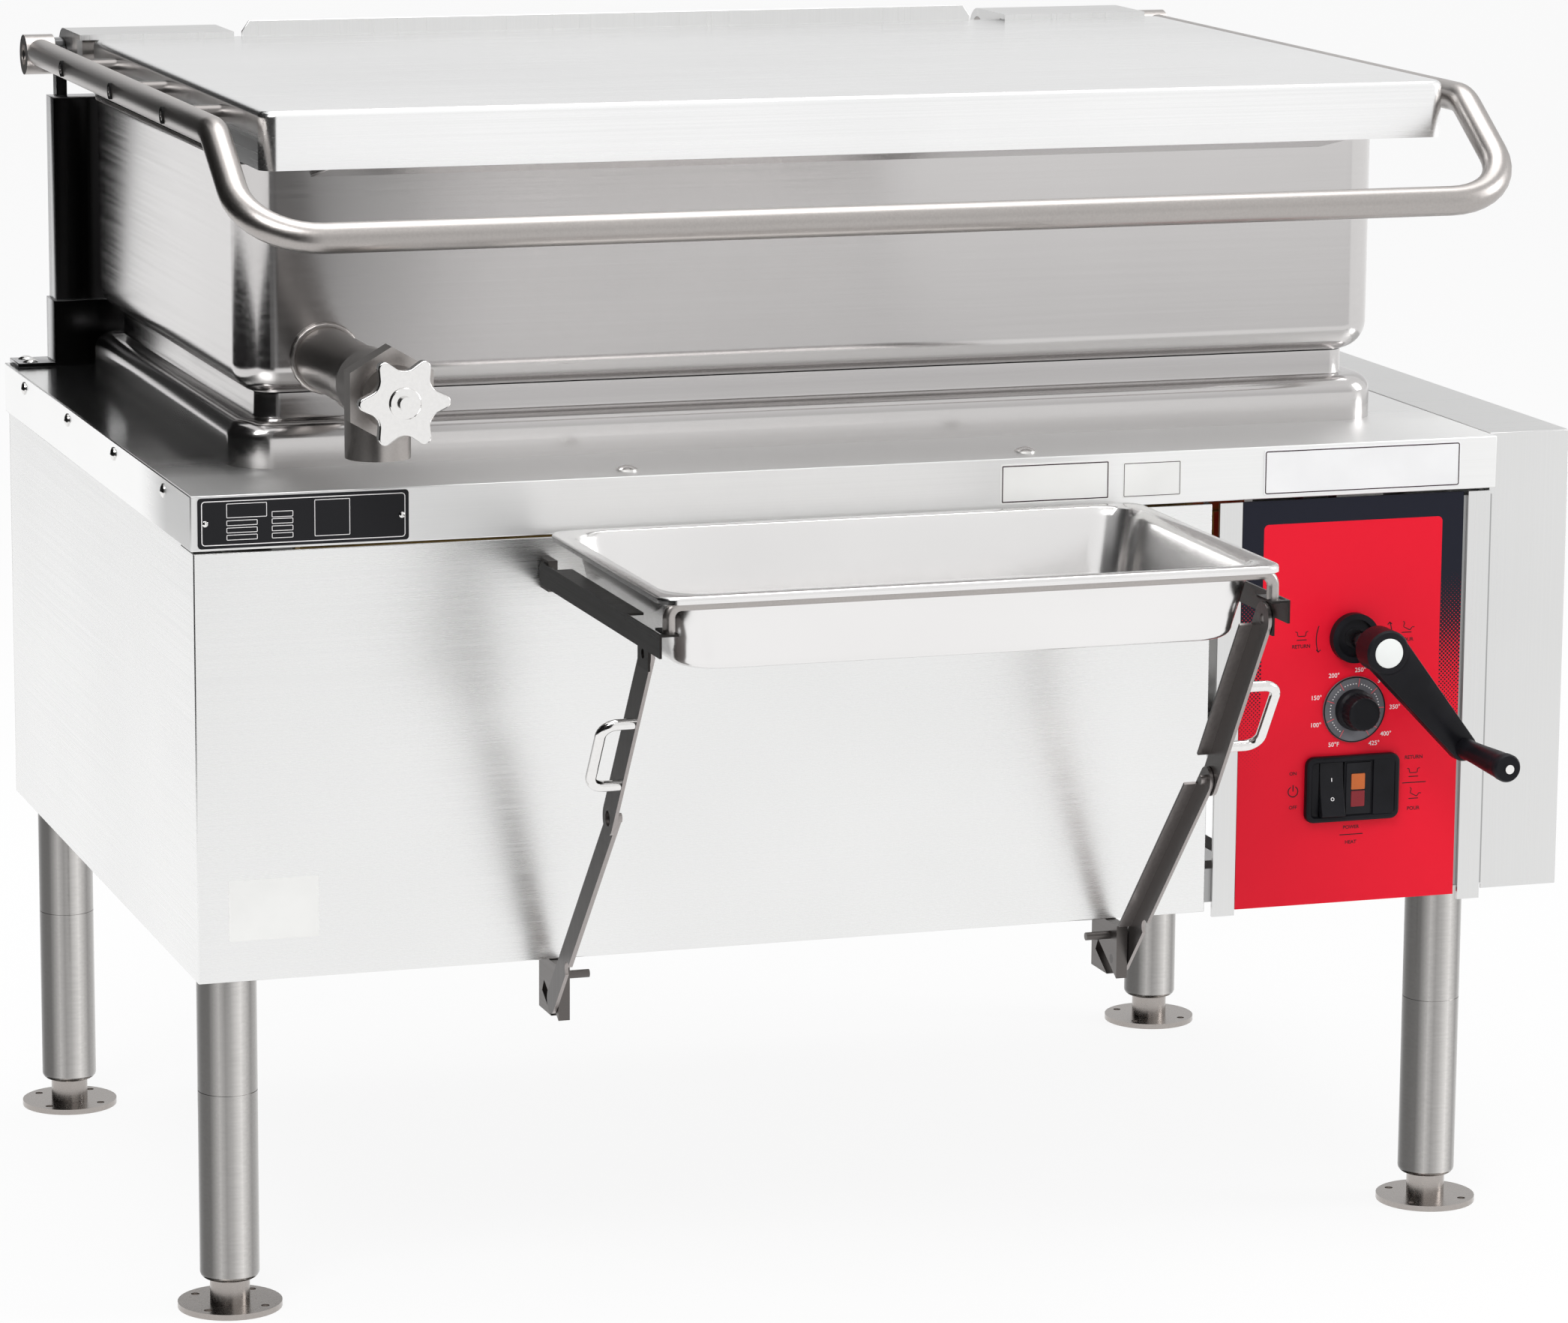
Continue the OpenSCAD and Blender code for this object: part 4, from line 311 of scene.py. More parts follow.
def panel_film(name):
    """Control panel film: red field inside a navy border that fades into dots lower down.
    The border is worked out from the distance to a rounded rectangle on the panel"""
    mat, tree, shader = node_graph(name)
    axes = split_axes(tree)
    x, z = axes["X"], axes["Z"]

    def calc(operation, *values):
        return math_node(tree, operation, *values)

    x0, x1 = (float(v + SHIFT[0]) / 1000 for v in FIELD[:2])
    top, corner, pitch = FIELD[2] / 1000, FIELD_CORNER / 1000, DOT_PITCH / 1000
    middle, half = (x0 + x1) / 2, (x1 - x0) / 2
    dx = calc("SUBTRACT", calc("ABSOLUTE", calc("SUBTRACT", x, middle)), half - corner)
    dz = calc("SUBTRACT", z, top - corner)
    squares = [calc("MULTIPLY", q, q) for q in (calc("MAXIMUM", dx, 0.0), calc("MAXIMUM", dz, 0.0))]
    outside = calc("GREATER_THAN", calc("SQRT", calc("ADD", *squares)), corner)
    turned = [calc("SUBTRACT", calc("FRACT", calc("DIVIDE", calc(way, x, z), pitch)), 0.5)
              for way in ("ADD", "SUBTRACT")]
    dot = calc("SQRT", calc("ADD", *(calc("MULTIPLY", g, g) for g in turned)))
    # The dots shrink from touching at the solid part to nothing low on the panel
    touching = 0.74
    rise = calc("SUBTRACT", z, FADE[0] / 1000)
    fade = calc("MULTIPLY", rise, touching / ((FADE[1] - FADE[0]) / 1000))
    mix = add(tree, "ShaderNodeMix", data_type="RGBA")
    tree.links.new(calc("MULTIPLY", outside, calc("LESS_THAN", dot, fade)), mix.inputs["Factor"])
    mix.inputs[6].default_value = (*looks().panel_red, 1)
    mix.inputs[7].default_value = (*looks().panel_navy, 1)
    grain = noise(tree, 260.0, 2.0)
    tree.links.new(mix.outputs[2], shader.inputs["Base Color"])
    tree.links.new(ramp(tree, grain, [(0.3, grey(0.34)), (0.7, grey(0.42))]), shader.inputs["Roughness"])
    relief(tree, shader, grain, 0.05, 0.0002)
    shader.inputs["Specular IOR Level"].default_value = 0.15
    return mat


MATS = {}

# Painted reflections and shade: tones round a leg from its left to its right, across an arm, and from the
# front of a post, painted near black as shade, to its back
LEG_PAINTED_LIGHT = ((0.0, 0.16), (0.12, 0.20), (0.26, 0.62), (0.36, 0.42),
             (0.46, 0.55), (0.62, 0.95), (0.80, 0.40), (1.0, 0.62))
ARM_PAINTED_LIGHT = ((0.0, 0.2), (0.3, 0.3), (0.45, 1.0), (0.6, 1.0), (1.0, 0.4))
POST_PAINTED_LIGHT = ((0.0, 0.03), (0.2, 0.05), (0.42, 0.75), (1.0, 0.9))


def make_materials():
    """All the finishes. A grain is its fineness across the lines, its length along them, and whether
    the lines stand upright"""
    look = looks()
    depth = look.brush_depth
    sheet, pan = tuple(look.sheet), tuple(look.pan)
    even = (300, 300, False)
    for name, color, rough, grain, bump, more in (
            ("sheet_upright", sheet, 0.27, (900, 1.8, False), depth * 0.5, {"streaks": 0.025}),
            ("sheet_box", toned(sheet, 0.86), 0.30, (700, 2.2, True), depth * 0.6, {"streaks": 0.035}),
            ("sheet_lid", (0.93, 0.93, 0.93), 0.25, (600, 2.0, False), depth, {}),
            # The pan's darker tone is partly painted shade of the lid's overhang
            ("pan_satin", pan, 0.17, (240, 3, False), depth * 0.4, {"cloud": 0.05, "streaks": 0.03}),
            ("tube_satin", (0.43, 0.405, 0.39), 0.33, (500, 500, False), depth * 0.6, {"streaks": 0.1}),
            ("tray_bright", (0.79, 0.78, 0.775), 0.2, (5, 5, False), 0.03, {"cloud": 0.06, "streaks": 0.02}),
            ("bright", (0.80, 0.79, 0.78), 0.14, even, 0.05, {}),
            # Dark steel of the handle's spacers, also on its bolt heads: the darkness is painted shade of the
            # gap between the handle tube and the lid
            ("spacer_painted_shade", (0.16, 0.15, 0.145), 0.3, even, 0.05, {}),
            ("frame_dull", (0.40, 0.40, 0.40), 0.42, (8, 8, False), depth, {}),
            ("bracket_dark", (0.13, 0.12, 0.115), 0.34, (400, 3, False), depth, {}),
            ("foot_steel", (0.40, 0.37, 0.35), 0.26, even, depth * 0.6, {"streaks": 0.1}),
            ("angle_black", (0.03, 0.028, 0.027), 0.30, (400, 3, False), depth, {}),
            ("iron", (0.10, 0.10, 0.10), 0.6, (120, 120, False), 0.4, {"cloud": 0.2, "metallic": 0.7}),
            ("brass", (0.62, 0.42, 0.16), 0.33, (60, 60, False), 0.1, {})):
        MATS[name] = steel(name, color, rough, grain, bump, **more)
    MATS["sheet_deep"] = deck_steel("sheet_deep", (0.86, 0.86, 0.855), depth)
    # Legs, arms and hinge posts: steel with painted reflections and painted shade in bands by facing, the
    # posts' fronts painted near black as shade
    MATS["leg_satin_painted_light"] = steel_painted_by_facing("leg_satin_painted_light", (0.74, 0.72, 0.70), 0.22, LEG_PAINTED_LIGHT)
    MATS["arm_grey_painted_light"] = steel_painted_by_facing("arm_grey_painted_light", (0.38, 0.35, 0.34), 0.32, ARM_PAINTED_LIGHT, (400, 3, True), depth)
    MATS["post_painted_shade"] = steel_painted_by_facing("post_painted_shade", (0.60, 0.60, 0.61), 0.22, POST_PAINTED_LIGHT, (500, 3, True),
                                     depth, "Y")
    MATS["film"] = panel_film("film")
    # The hole finish is near black: it is laid on discs and slots that stand in as painted shade of recesses
    for name, color, rough in (
            ("black", (0.007, 0.007, 0.009), 0.38), ("black_gloss", (0.010, 0.010, 0.012), 0.16),
            ("smoke", (0.11, 0.11, 0.12), 0.22), ("hole", (0.004, 0.004, 0.004), 0.8)):
        MATS[name] = cast_black(name, color, rough)
    for name, color, rough in (
            ("white_mark", (0.86, 0.84, 0.84), 0.4), ("dark_mark", (0.03, 0.01, 0.015), 0.5),
            ("scale_red", (0.72, 0.10, 0.12), 0.4), ("plate_black", (0.008, 0.008, 0.010), 0.3),
            ("cap_white", (0.84, 0.86, 0.84), 0.25), ("plate_white", (0.84, 0.84, 0.84), 0.38),
            ("label_white", (0.82, 0.82, 0.80), 0.45)):
        MATS[name] = painted(name, color, rough)
    for name, color in (("lens_amber", (0.52, 0.12, 0.02)), ("lens_red", (0.22, 0.008, 0.015))):
        MATS[name] = painted(name, color, 0.2, 0.2, 0.3)


NODE_FINISH = {
    "base_frame": "frame_dull", "corner_posts": "frame_dull", "leg_tubes": "leg_satin_painted_light",
    "flanged_feet": "foot_steel", "side_panel": "sheet_upright", "back_panel": "sheet_upright",
    "front_panel": "sheet_upright", "side_box": "sheet_box", "trim_columns": "sheet_box",
    "control_panel": "film", "heat_box": "frame_dull", "burner_tubes": "iron",
    "gas_manifold": "brass", "gas_valve": "brass", "pivot_brackets": "bracket_dark",
    "crank_bearing": "black", "jack_gearbox": "iron", "thermostat_body": "black",
    "switch_housing": "black_gloss", "indicator_lens": "black_gloss", "arm_brackets": "bracket_dark",
    "holder_lugs": "bracket_dark", "deck": "sheet_deep", "pan_skirt": "pan_satin",
    "pan_shell": "pan_satin", "pan_base_plate": "iron", "pivot_ears": "bracket_dark",
    "pivot_pins": "bright", "hinge_posts": "post_painted_shade", "hinge_shaft": "tube_satin",
    "lift_cams": "bracket_dark", "valve_body": "tube_satin", "valve_cap_nut": "tube_satin",
    "deck_screws": "bright", "rating_plate": "plate_black", "name_plate": "plate_white",
    "lid_shell": "sheet_lid", "lid_sleeves": "sheet_box", "hinge_barrels": "tube_satin",
    "lid_handle": "tube_satin", "handle_bolts": "spacer_painted_shade", "valve_stem": "bright",
    "valve_knob": "bright", "crank_arm": "black", "crank_shaft": "bright", "crank_grip": "black",
    "jack_screw": "bright", "thermostat_dial": "black", "power_rocker": "black",
    "gas_valve_lever": "brass", "tray": "tray_bright", "lower_arms": "arm_grey_painted_light",
    "upper_arms": "arm_grey_painted_light", "arm_pulls": "bright", "holder_angles": "angle_black",
    "holder_rod": "tube_satin",
}


def finish_nodes():
    for name, finish in NODE_FINISH.items():
        data = NODES[name].data
        data.materials.clear()
        data.materials.append(MATS[finish])


# Surfaces

def place(co):
    """Millimetres about the deck's front edge, to metres in the frame"""
    return (np.asarray(co, float).reshape(-1, 3) + SHIFT) / 1000.0


def put(name, co, faces, finish, body, smooth=40.0, replaces=()):
    """Makes a mesh object from points in mm and a list of faces, finishes it and lets it ride"""
    mesh = bpy.data.meshes.new(name)
    mesh.from_pydata(place(co).tolist(), [], faces)
    mesh.validate()
    obj = bpy.data.objects.new(name, mesh)
    bpy.context.scene.collection.objects.link(obj)
    mesh.materials.append(MATS[finish])
    if smooth:
        mesh.shade_smooth()
        mesh.set_sharp_from_angle(angle=math.radians(smooth))
    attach(obj, body)
    if replaces:
        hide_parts(*replaces)
    return obj


def quads(n, m):
    """Faces of a grid of n closed rings with m points each"""
    i, j = np.meshgrid(np.arange(n - 1), np.arange(m), indexing="ij")
    k = (j + 1) % m
    return np.stack([i * m + j, i * m + k, (i + 1) * m + k, (i + 1) * m + j], -1).reshape(-1, 4).tolist()


def loft(name, rings, finish, body, slot, caps=(True, True), smooth=40.0, replaces=()):
    """Surface through closed rings: point (i, j) is ring i at parameter j. Ends are closed flat"""
    rings = np.asarray(rings, float)
    n, m, _ = rings.shape
    faces = quads(n, m)
    if caps[0]:
        faces.append(list(range(m))[::-1])
    if caps[1]:
        faces.append([(n - 1) * m + j for j in range(m)])
    return put(name, rings, faces, finish, body, smooth, replaces)


def arc(radius, start, end, count, centre=(0.0, 0.0)):
    """Points at equal steps on a circle of one radius, from one angle to another"""
    t = np.linspace(start, end, count)
    return np.stack([centre[0] + radius * np.cos(t), centre[1] + radius * np.sin(t)], -1)


def circle(steps):
    """Angles at equal steps round a full circle"""
    return np.arange(steps) * 2 * math.pi / steps


def round_rect(box, r, steps=None):
    """Outline of a box in plan with corner radius r: a quarter circle of equal steps at each corner"""
    steps = steps or shapes().corner_steps
    x0, y0, x1, y1 = box
    centres = ((x1 - r, y1 - r), (x0 + r, y1 - r), (x0 + r, y0 + r), (x1 - r, y0 + r))
    right_angle = math.pi / 2
    return np.concatenate([arc(r, k * right_angle, (k + 1) * right_angle, steps + 1, centre)
                           for k, centre in enumerate(centres)])


def level(box, r, z):
    """A rounded box as a ring at one height"""
    xy = round_rect(box, max(r, 0.05))
    return np.column_stack([xy, np.full(len(xy), z)])


def shrink(box, d):
    return (box[0] + d, box[1] + d, box[2] - d, box[3] - d)


def quarter(n):
    """Sine and cosine of n + 1 equal steps over a right angle"""
    t = np.linspace(0, math.pi / 2, n + 1)
    return np.sin(t), np.cos(t)


def lower_edge(box, corner, z, edge, steps, share=1.0):
    """Rings round a lower edge, from its underside to its wall: at angle t a ring lies edge (1 - sin t)
    inside the box and edge (1 - cos t) above the underside, and its corner gives up a share of the inset"""
    sine, cosine = quarter(steps)
    return [level(shrink(box, inset), corner - inset * share, z + rise)
            for inset, rise in zip(edge * (1 - sine), edge * (1 - cosine))]


def upper_edge(box, corner, z, edge, steps, share=1.0):
    """Rings round an upper edge, from its wall to its top: at angle t a ring lies edge (1 - cos t)
    inside the box and edge (1 - sin t) below the top, and its corner gives up a share of the inset"""
    sine, cosine = quarter(steps)
    return [level(shrink(box, inset), corner - inset * share, z - fall)
            for inset, fall in zip(edge * (1 - cosine), edge * (1 - sine))]


def lathe(name, profile, centre, axis, finish, body, slot, steps=48, replaces=()):
    """Profile of (distance along the axis, radius) turned about an axis through centre"""
    profile = np.asarray(profile, float)
    axis = np.asarray(axis, float) / np.linalg.norm(axis)
    side = np.array([0, 0, 1.0]) if abs(axis[2]) < 0.9 else np.array([1.0, 0, 0])
    u = np.cross(side, axis)
    u /= np.linalg.norm(u)
    v = np.cross(axis, u)
    t = circle(steps)
    ring = np.cos(t)[:, None] * u + np.sin(t)[:, None] * v
    along, radius = profile[:, 0][:, None, None], profile[:, 1][:, None, None]
    rings = np.asarray(centre, float) + along * axis + radius * ring
    return loft(name, rings, finish, body, slot, smooth=35.0, replaces=replaces)


def tube_path(points, bends, steps=10):
    """Stations along straight runs joined by circular bends: place and heading of each. A bend of
    radius r starts r tan(turn / 2) before its corner, and turns about a centre r to its inside"""
    p = np.asarray(points, float)
    d = [(p[i + 1] - p[i]) / np.linalg.norm(p[i + 1] - p[i]) for i in range(len(p) - 1)]
    out = [(p[0], d[0])]
    for i in range(1, len(p) - 1):
        a, b, r = d[i - 1], d[i], bends[i - 1]
        turn = math.acos(np.clip(a @ b, -1, 1))
        inward = b - a * (a @ b)
        inward /= np.linalg.norm(inward)
        c = p[i] - a * r * math.tan(turn / 2) + inward * r
        for t in np.linspace(0, turn, steps + 1):
            cosine, sine = math.cos(t), math.sin(t)
            out.append((c - inward * r * cosine + a * r * sine, a * cosine + inward * sine))
    out.append((p[-1], d[-1]))
    return out


def tube(name, points, bends, radius, finish, body, slot, replaces=()):
    """Round tube of one radius along a bent path. Each ring stands square to the path,
    turned as little as it can be from the ring before it, and the ends are softly rounded"""
    ends = 1.0
    st = tube_path(points, bends)
    side = np.cross(st[0][1], [0.3, 0.5, 0.8])
    side /= np.linalg.norm(side)
    t = circle(shapes().tube_steps)
    rings = []
    for k, (p, d) in enumerate(st):
        side = side - d * (side @ d)
        side /= np.linalg.norm(side)
        other = np.cross(d, side)
        ring = np.cos(t)[:, None] * side + np.sin(t)[:, None] * other
        radii = [(0.0, radius)]
        if k == 0:
            radii = [(0.0, radius - ends), (ends * 0.3, radius - ends * 0.3), (ends, radius)]
        if k == len(st) - 1:
            radii = [(-ends, radius), (-ends * 0.3, radius - ends * 0.3), (0.0, radius - ends)]
        for off, r in radii:
            rings.append(p + d * off + ring * r)
    return loft(name, rings, finish, body, slot, smooth=50.0, replaces=replaces)


def slab(name, outline, origin, u, v, w, thick, finish, body, bevel=0.4, segments=2, replaces=()):
    """Flat plate: an outline in the plane of u and v, thickened along w, with softened edges"""
    o, u, v, w = (np.asarray(a, float) for a in (origin, u, v, w))
    xy = np.asarray(outline, float)
    m = len(xy)
    base = o + xy[:, :1] * u + xy[:, 1:] * v
    co = np.concatenate([base, base + w * thick])
    faces = [[j, (j + 1) % m, m + (j + 1) % m, m + j] for j in range(m)]
    faces.append(list(range(m))[::-1])
    faces.append([m + j for j in range(m)])
    obj = outward(put(name, co, faces, finish, body, 0, replaces))
    if bevel:
        soften(obj, bevel, segments)
    return obj


def upright(name, outline, y, thick, finish, body, slot, bevel=0.4, segments=2, replaces=()):
    """Flat plate that looks forward: its outline is in x and z, and it stands out from y"""
    return slab(name, outline, (0, y, 0), RIGHT, UP, FORWARD, thick, finish, body, bevel, segments,
                replaces)


def outward(obj):
    """Turns all faces of a closed piece outwards"""
    bm = bmesh.new()
    bm.from_mesh(obj.data)
    bmesh.ops.recalc_face_normals(bm, faces=bm.faces)
    bm.to_mesh(obj.data)
    bm.free()
    return obj


def soften(obj, width, segments=2, angle=35.0):
    mod = obj.modifiers.new("edges", "BEVEL")
    mod.width = width / 1000.0
    mod.segments = segments
    mod.limit_method = "ANGLE"
    mod.angle_limit = math.radians(angle)
    mod.harden_normals = False
    obj.data.shade_smooth()
    obj.data.set_sharp_from_angle(angle=math.radians(50))
    return obj


def dressed_copy(name, node, finish, body, width):
    """A clean copy of a folded sheet node whose edges get their bend radius"""
    mesh = NODES[node].data.copy()
    mesh.name = name
    bm = bmesh.new()
    bm.from_mesh(mesh)
    bmesh.ops.remove_doubles(bm, verts=bm.verts, dist=0.00002)
    bmesh.ops.dissolve_limit(bm, angle_limit=math.radians(0.6), verts=bm.verts, edges=bm.edges)
    bm.to_mesh(mesh)
    bm.free()
    mesh.materials.clear()
    mesh.materials.append(MATS[finish])
    obj = bpy.data.objects.new(name, mesh)
    bpy.context.scene.collection.objects.link(obj)
    soften(obj, width, angle=30)
    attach(obj, body)
    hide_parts(node)
    return obj


# Operators

class PAN_OT_materials(bpy.types.Operator):
    """Make the finishes and lay them on the frame's nodes"""
    bl_idname = "braising_pan.materials"
    bl_label = "Finishes"

    def execute(self, context):
        make_materials()
        finish_nodes()
        return {"FINISHED"}


class PAN_OT_pan(bpy.types.Operator):
    """Pan body with its rim and pouring lip, and the skirt below it"""
    bl_idname = "braising_pan.pan"
    bl_label = "Pan body"

    def execute(self, context):
        corner, edge, wall = 34.0, 26.0, 3.0
        edge_share, edge_steps = 0.75, 10
        rim_corner, rim_under, rim_t = 17.0, 6.0, 2.0
        # Outside: bottom edge radius, wall, then out to the rim flange
        rings = lower_edge(PAN, corner, PAN_Z0, edge, edge_steps, edge_share)
        rings.append(level(PAN, corner, RIM_Z - rim_under))
        rings.append(level(shrink(PAN, -1.5), corner, RIM_Z - rim_under / 2))
        rings.append(level(RIM, rim_corner, RIM_Z - rim_t))
        rings.append(level(RIM, rim_corner, RIM_Z))
        # Inside: over the rim, down the wall and round to the floor
        inner, inner_corner = shrink(PAN, wall), corner - wall
        rings.append(level(shrink(PAN, 1.0), corner - 1, RIM_Z))
        rings.append(level(inner, inner_corner, RIM_Z - rim_t))
        rings += lower_edge(inner, inner_corner, PAN_Z0 + wall, edge - wall, edge_steps, edge_share)[::-1]
        loft("pan_body", rings, "pan_satin", "pan", "stainless", replaces=("pan_shell",))
        self.lip()
        self.skirt(corner, wall)
        return {"FINISHED"}

    def lip(self):
        """Pouring lip: a flat sheet from the wall out and up to its front edge"""
        left, right = -490.0, PAN[2] - 60
        section = ((121.0, -14.0), (62.0, -2.0), (62.0, 0.0), (121.5, -11.6))
        co = [[x, y, RIM_Z + drop] for y, drop in section for x in (left, right)]
        faces = [[0, 1, 3, 2], [2, 3, 5, 4], [4, 5, 7, 6], [6, 7, 1, 0], [0, 2, 4, 6], [1, 7, 5, 3]]
        obj = put("pouring_lip", co, faces, "pan_satin", "pan", 0)
        soften(outward(obj), 0.6)

    def skirt(self, corner, wall):
        """Skirt: up from the deck, over a rounded shoulder and in to the pan's neck, then back inside"""
        skirt = (-557.0, 119.7, 487.0, 721.0)
        neck, neck_corner = shrink(PAN, 20), 20.0
        height, shoulder, shoulder_share = 39.0, 15.0, 0.7
        top = DECK_Z + height
        rings = [level(skirt, corner, DECK_Z), level(skirt, corner, top - shoulder)]
        rings += upper_edge(skirt, corner, top, shoulder, 10, shoulder_share)[1:]
        rings.append(level(shrink(neck, -3), 22, top))
        rings.append(level(shrink(neck, -0.8), 20.6, top + 0.8))
        rings.append(level(neck, neck_corner, top + 3))
        rings.append(level(neck, neck_corner, PAN_Z0))
        for z in (PAN_Z0, top - wall):
            rings.append(level(shrink(neck, wall), neck_corner - wall, z))
        rings.append(level(shrink(skirt, shoulder + wall), corner - 12, top - wall))
        for z in (top - shoulder, DECK_Z):
            rings.append(level(shrink(skirt, wall), corner - wall, z))
        rings.append(rings[0])
        loft("pan_skirting", rings, "pan_satin", "pan", "stainless", (False, False), replaces=("pan_skirt",))


class PAN_OT_lid(bpy.types.Operator):
    """Lid pressed from sheet, with soft upper edges, and its rear upstand"""
    bl_idname = "braising_pan.lid"
    bl_label = "Lid"

    def execute(self, context):
        corner, edge, wall, steps = 14.0, 6.0, 2.0, 8
        top = np.array([level(LID, corner, LID_Z0)] + upper_edge(LID, corner, LID_Z1, edge, steps))
        inner, inner_corner = shrink(LID, wall), corner - wall
        under = np.array([level(inner, inner_corner, LID_Z0)]
                         + upper_edge(inner, inner_corner, LID_Z1 - wall, edge - wall, steps))
        # Outside from the hem to the top, and inside from the hem to the underside
        n, m, _ = top.shape
        k, base = len(under), n * m
        faces = quads(n, m)
        faces.append([(n - 1) * m + j for j in range(m)])
        faces += [[base + a for a in face[::-1]] for face in quads(k, m)]
        faces.append([base + (k - 1) * m + j for j in range(m)][::-1])
        faces += [[j, base + j, base + (j + 1) % m, (j + 1) % m] for j in range(m)]
        co = np.concatenate([top.reshape(-1, 3), under.reshape(-1, 3)])
        put("lid_pressing", co, faces, "sheet_lid", "lid", 30, ("lid_shell",))
        left, right, cut = -408.0, 312.0, 7.0
        foot, shoulder, head = LID_Z1 - 10, LID_Z1 + 4, LID_Z1 + 14
        outline = [(left, foot), (right, foot), (right, shoulder), (right - cut, head), (left + cut, head),
                   (left, shoulder)]
        slab("lid_upstand", outline, (0, 720, 0), RIGHT, UP, (0, 1, 0), 2.0, "sheet_box", "lid",
             0.5)
        return {"FINISHED"}


class PAN_OT_handle(bpy.types.Operator):
    """Tubular handle bent round the lid, its bolts in near-black discs of painted recess shade, and a
    near-black disc of painted shade for the hole at the end of the hinge shaft
    """
    bl_idname = "braising_pan.handle"
    bl_label = "Lid handle"

    def execute(self, context):
        left, right, side_z, front_z = -588.0, 526.0, 1001.0, 926.0
        rear, bend_y, front = HINGE_Y - 18.8, 49.0, -68.0
        radius = shapes().handle_radius
        path = [(left, rear, side_z), (left, bend_y, side_z), (left, front, front_z),
                (right, front, front_z), (right, bend_y, side_z), (right, rear, side_z)]
        tube("handle_tube", path, [45, 62, 62, 45], radius, "tube_satin", "lid", "polished",
             replaces=("lid_handle",))
        # Near-black discs round the bolt heads are painted shade of their recesses
        recess_shade = [(-3.0, 1.0), (-3.0, 7.2), (0.5, 7.2), (0.8, 6.8), (0.8, 5.6), (-1.2, 5.4), (-1.2, 1.0)]
        head = [(-1.2, 0.8), (-1.2, 4.4), (0.4, 4.4), (0.9, 3.8), (0.9, 2.2), (-0.4, 2.0), (-0.4, 0.8)]
        for k, share in enumerate((0.2153, 0.5251, 0.8348)):
            at = (left - radius, LID[1] + (LID[3] - LID[1]) * share, side_z)
            lathe(f"bolt_recess_shade_{k}", recess_shade, at, LEFT, "hole", "lid", "black", 32)
            lathe(f"bolt_head_{k}", head, at, LEFT, "spacer_painted_shade", "lid", "polished", 32)
        # A thin near-black disc at the end of the hinge shaft is painted shade of its hole
        hole = [(-0.2, 1.0), (-0.2, 4.2), (0.15, 4.2), (0.15, 1.0)]
        lathe("pivot_hole", hole, (STUB_END, HINGE_Y, HINGE_Z), LEFT, "hole", "lid", "black", 32)
        return {"FINISHED"}


class PAN_OT_sheetwork(bpy.types.Operator):
    """Folded sheets of the cabinet, the deck and the hinge posts with their bend radii"""
    bl_idname = "braising_pan.sheetwork"
    bl_label = "Folded sheets"

    def execute(self, context):
        edge = shapes().sheet_edge
        for name, node, finish, body, slot, width in (
                ("deck_cover", "deck", "sheet_deep", "pan", "stainless", edge),
                ("box_cover", "side_box", "sheet_box", "cabinet", "stainless", edge),
                # The hinge posts' finish has painted shade on their fronts
                ("post_covers", "hinge_posts", "post_painted_shade", "pan", "polished", edge * 0.5),
                ("front_sheet", "front_panel", "sheet_upright", "cabinet", "stainless", edge * 0.5),
                ("side_sheet", "side_panel", "sheet_upright", "cabinet", "stainless", edge * 0.5)):
            dressed_copy(name, node, finish, body, width)
        return {"FINISHED"}


class PAN_OT_tray(bpy.types.Operator):
    """Deep-drawn food tray with a rolled rim"""
    bl_idname = "braising_pan.tray"
    bl_label = "Food tray"

    def execute(self, context):
        rim_w, floor_in, floor_r, sheet = 12.5, 12.0, 10.0, 1.0
        corner, rim_corner, steps, share = 36.0, 17.0, 6, 0.4
        z, floor_z, middle_z = TRAY_Z, TRAY_Z - TRAY_H, TRAY_Z - TRAY_H * 0.45
        wall = shrink(TRAY, rim_w)
        # Outside from the floor radius up the wall and out round the rolled rim
        rings = lower_edge(shrink(wall, floor_in), corner - 2, floor_z, floor_r, steps, share)
        for box, radius, height in (
                (shrink(wall, floor_in * 0.5), corner - 1, middle_z), (shrink(wall, 1.5), corner, z - 8),
                (wall, corner, z - 2), (shrink(TRAY, 3.0), rim_corner + 1, z - 1.2),
                (shrink(TRAY, 1.3), rim_corner, z - 2.2), (shrink(TRAY, 1.3), rim_corner, z - 6)):
            rings.append(level(box, radius, height))
        rings += [level(TRAY, rim_corner, z - 6 + k * 0.9) for k in range(5)]
        rings.append(level(shrink(TRAY, 0.7), rim_corner, z - 0.8))
        rings.append(level(shrink(TRAY, 2.6), rim_corner, z))
        # Inside from the rim down to the floor
        for inset, radius, height in (
                (-2.0, corner, z), (0.6, corner, z - 1.4), (1.5 + sheet, corner - 1, z - 8),
                (floor_in * 0.5 + sheet, corner - 2, middle_z)):
            rings.append(level(shrink(wall, inset), radius, height))
        floor_box = shrink(wall, floor_in + sheet)
        rings += lower_edge(floor_box, corner - 3, floor_z + sheet, floor_r, steps, share)[::-1]
        loft("tray_drawn", rings, "tray_bright", "food_tray", "stainless", replaces=("tray",), smooth=50)
        return {"FINISHED"}


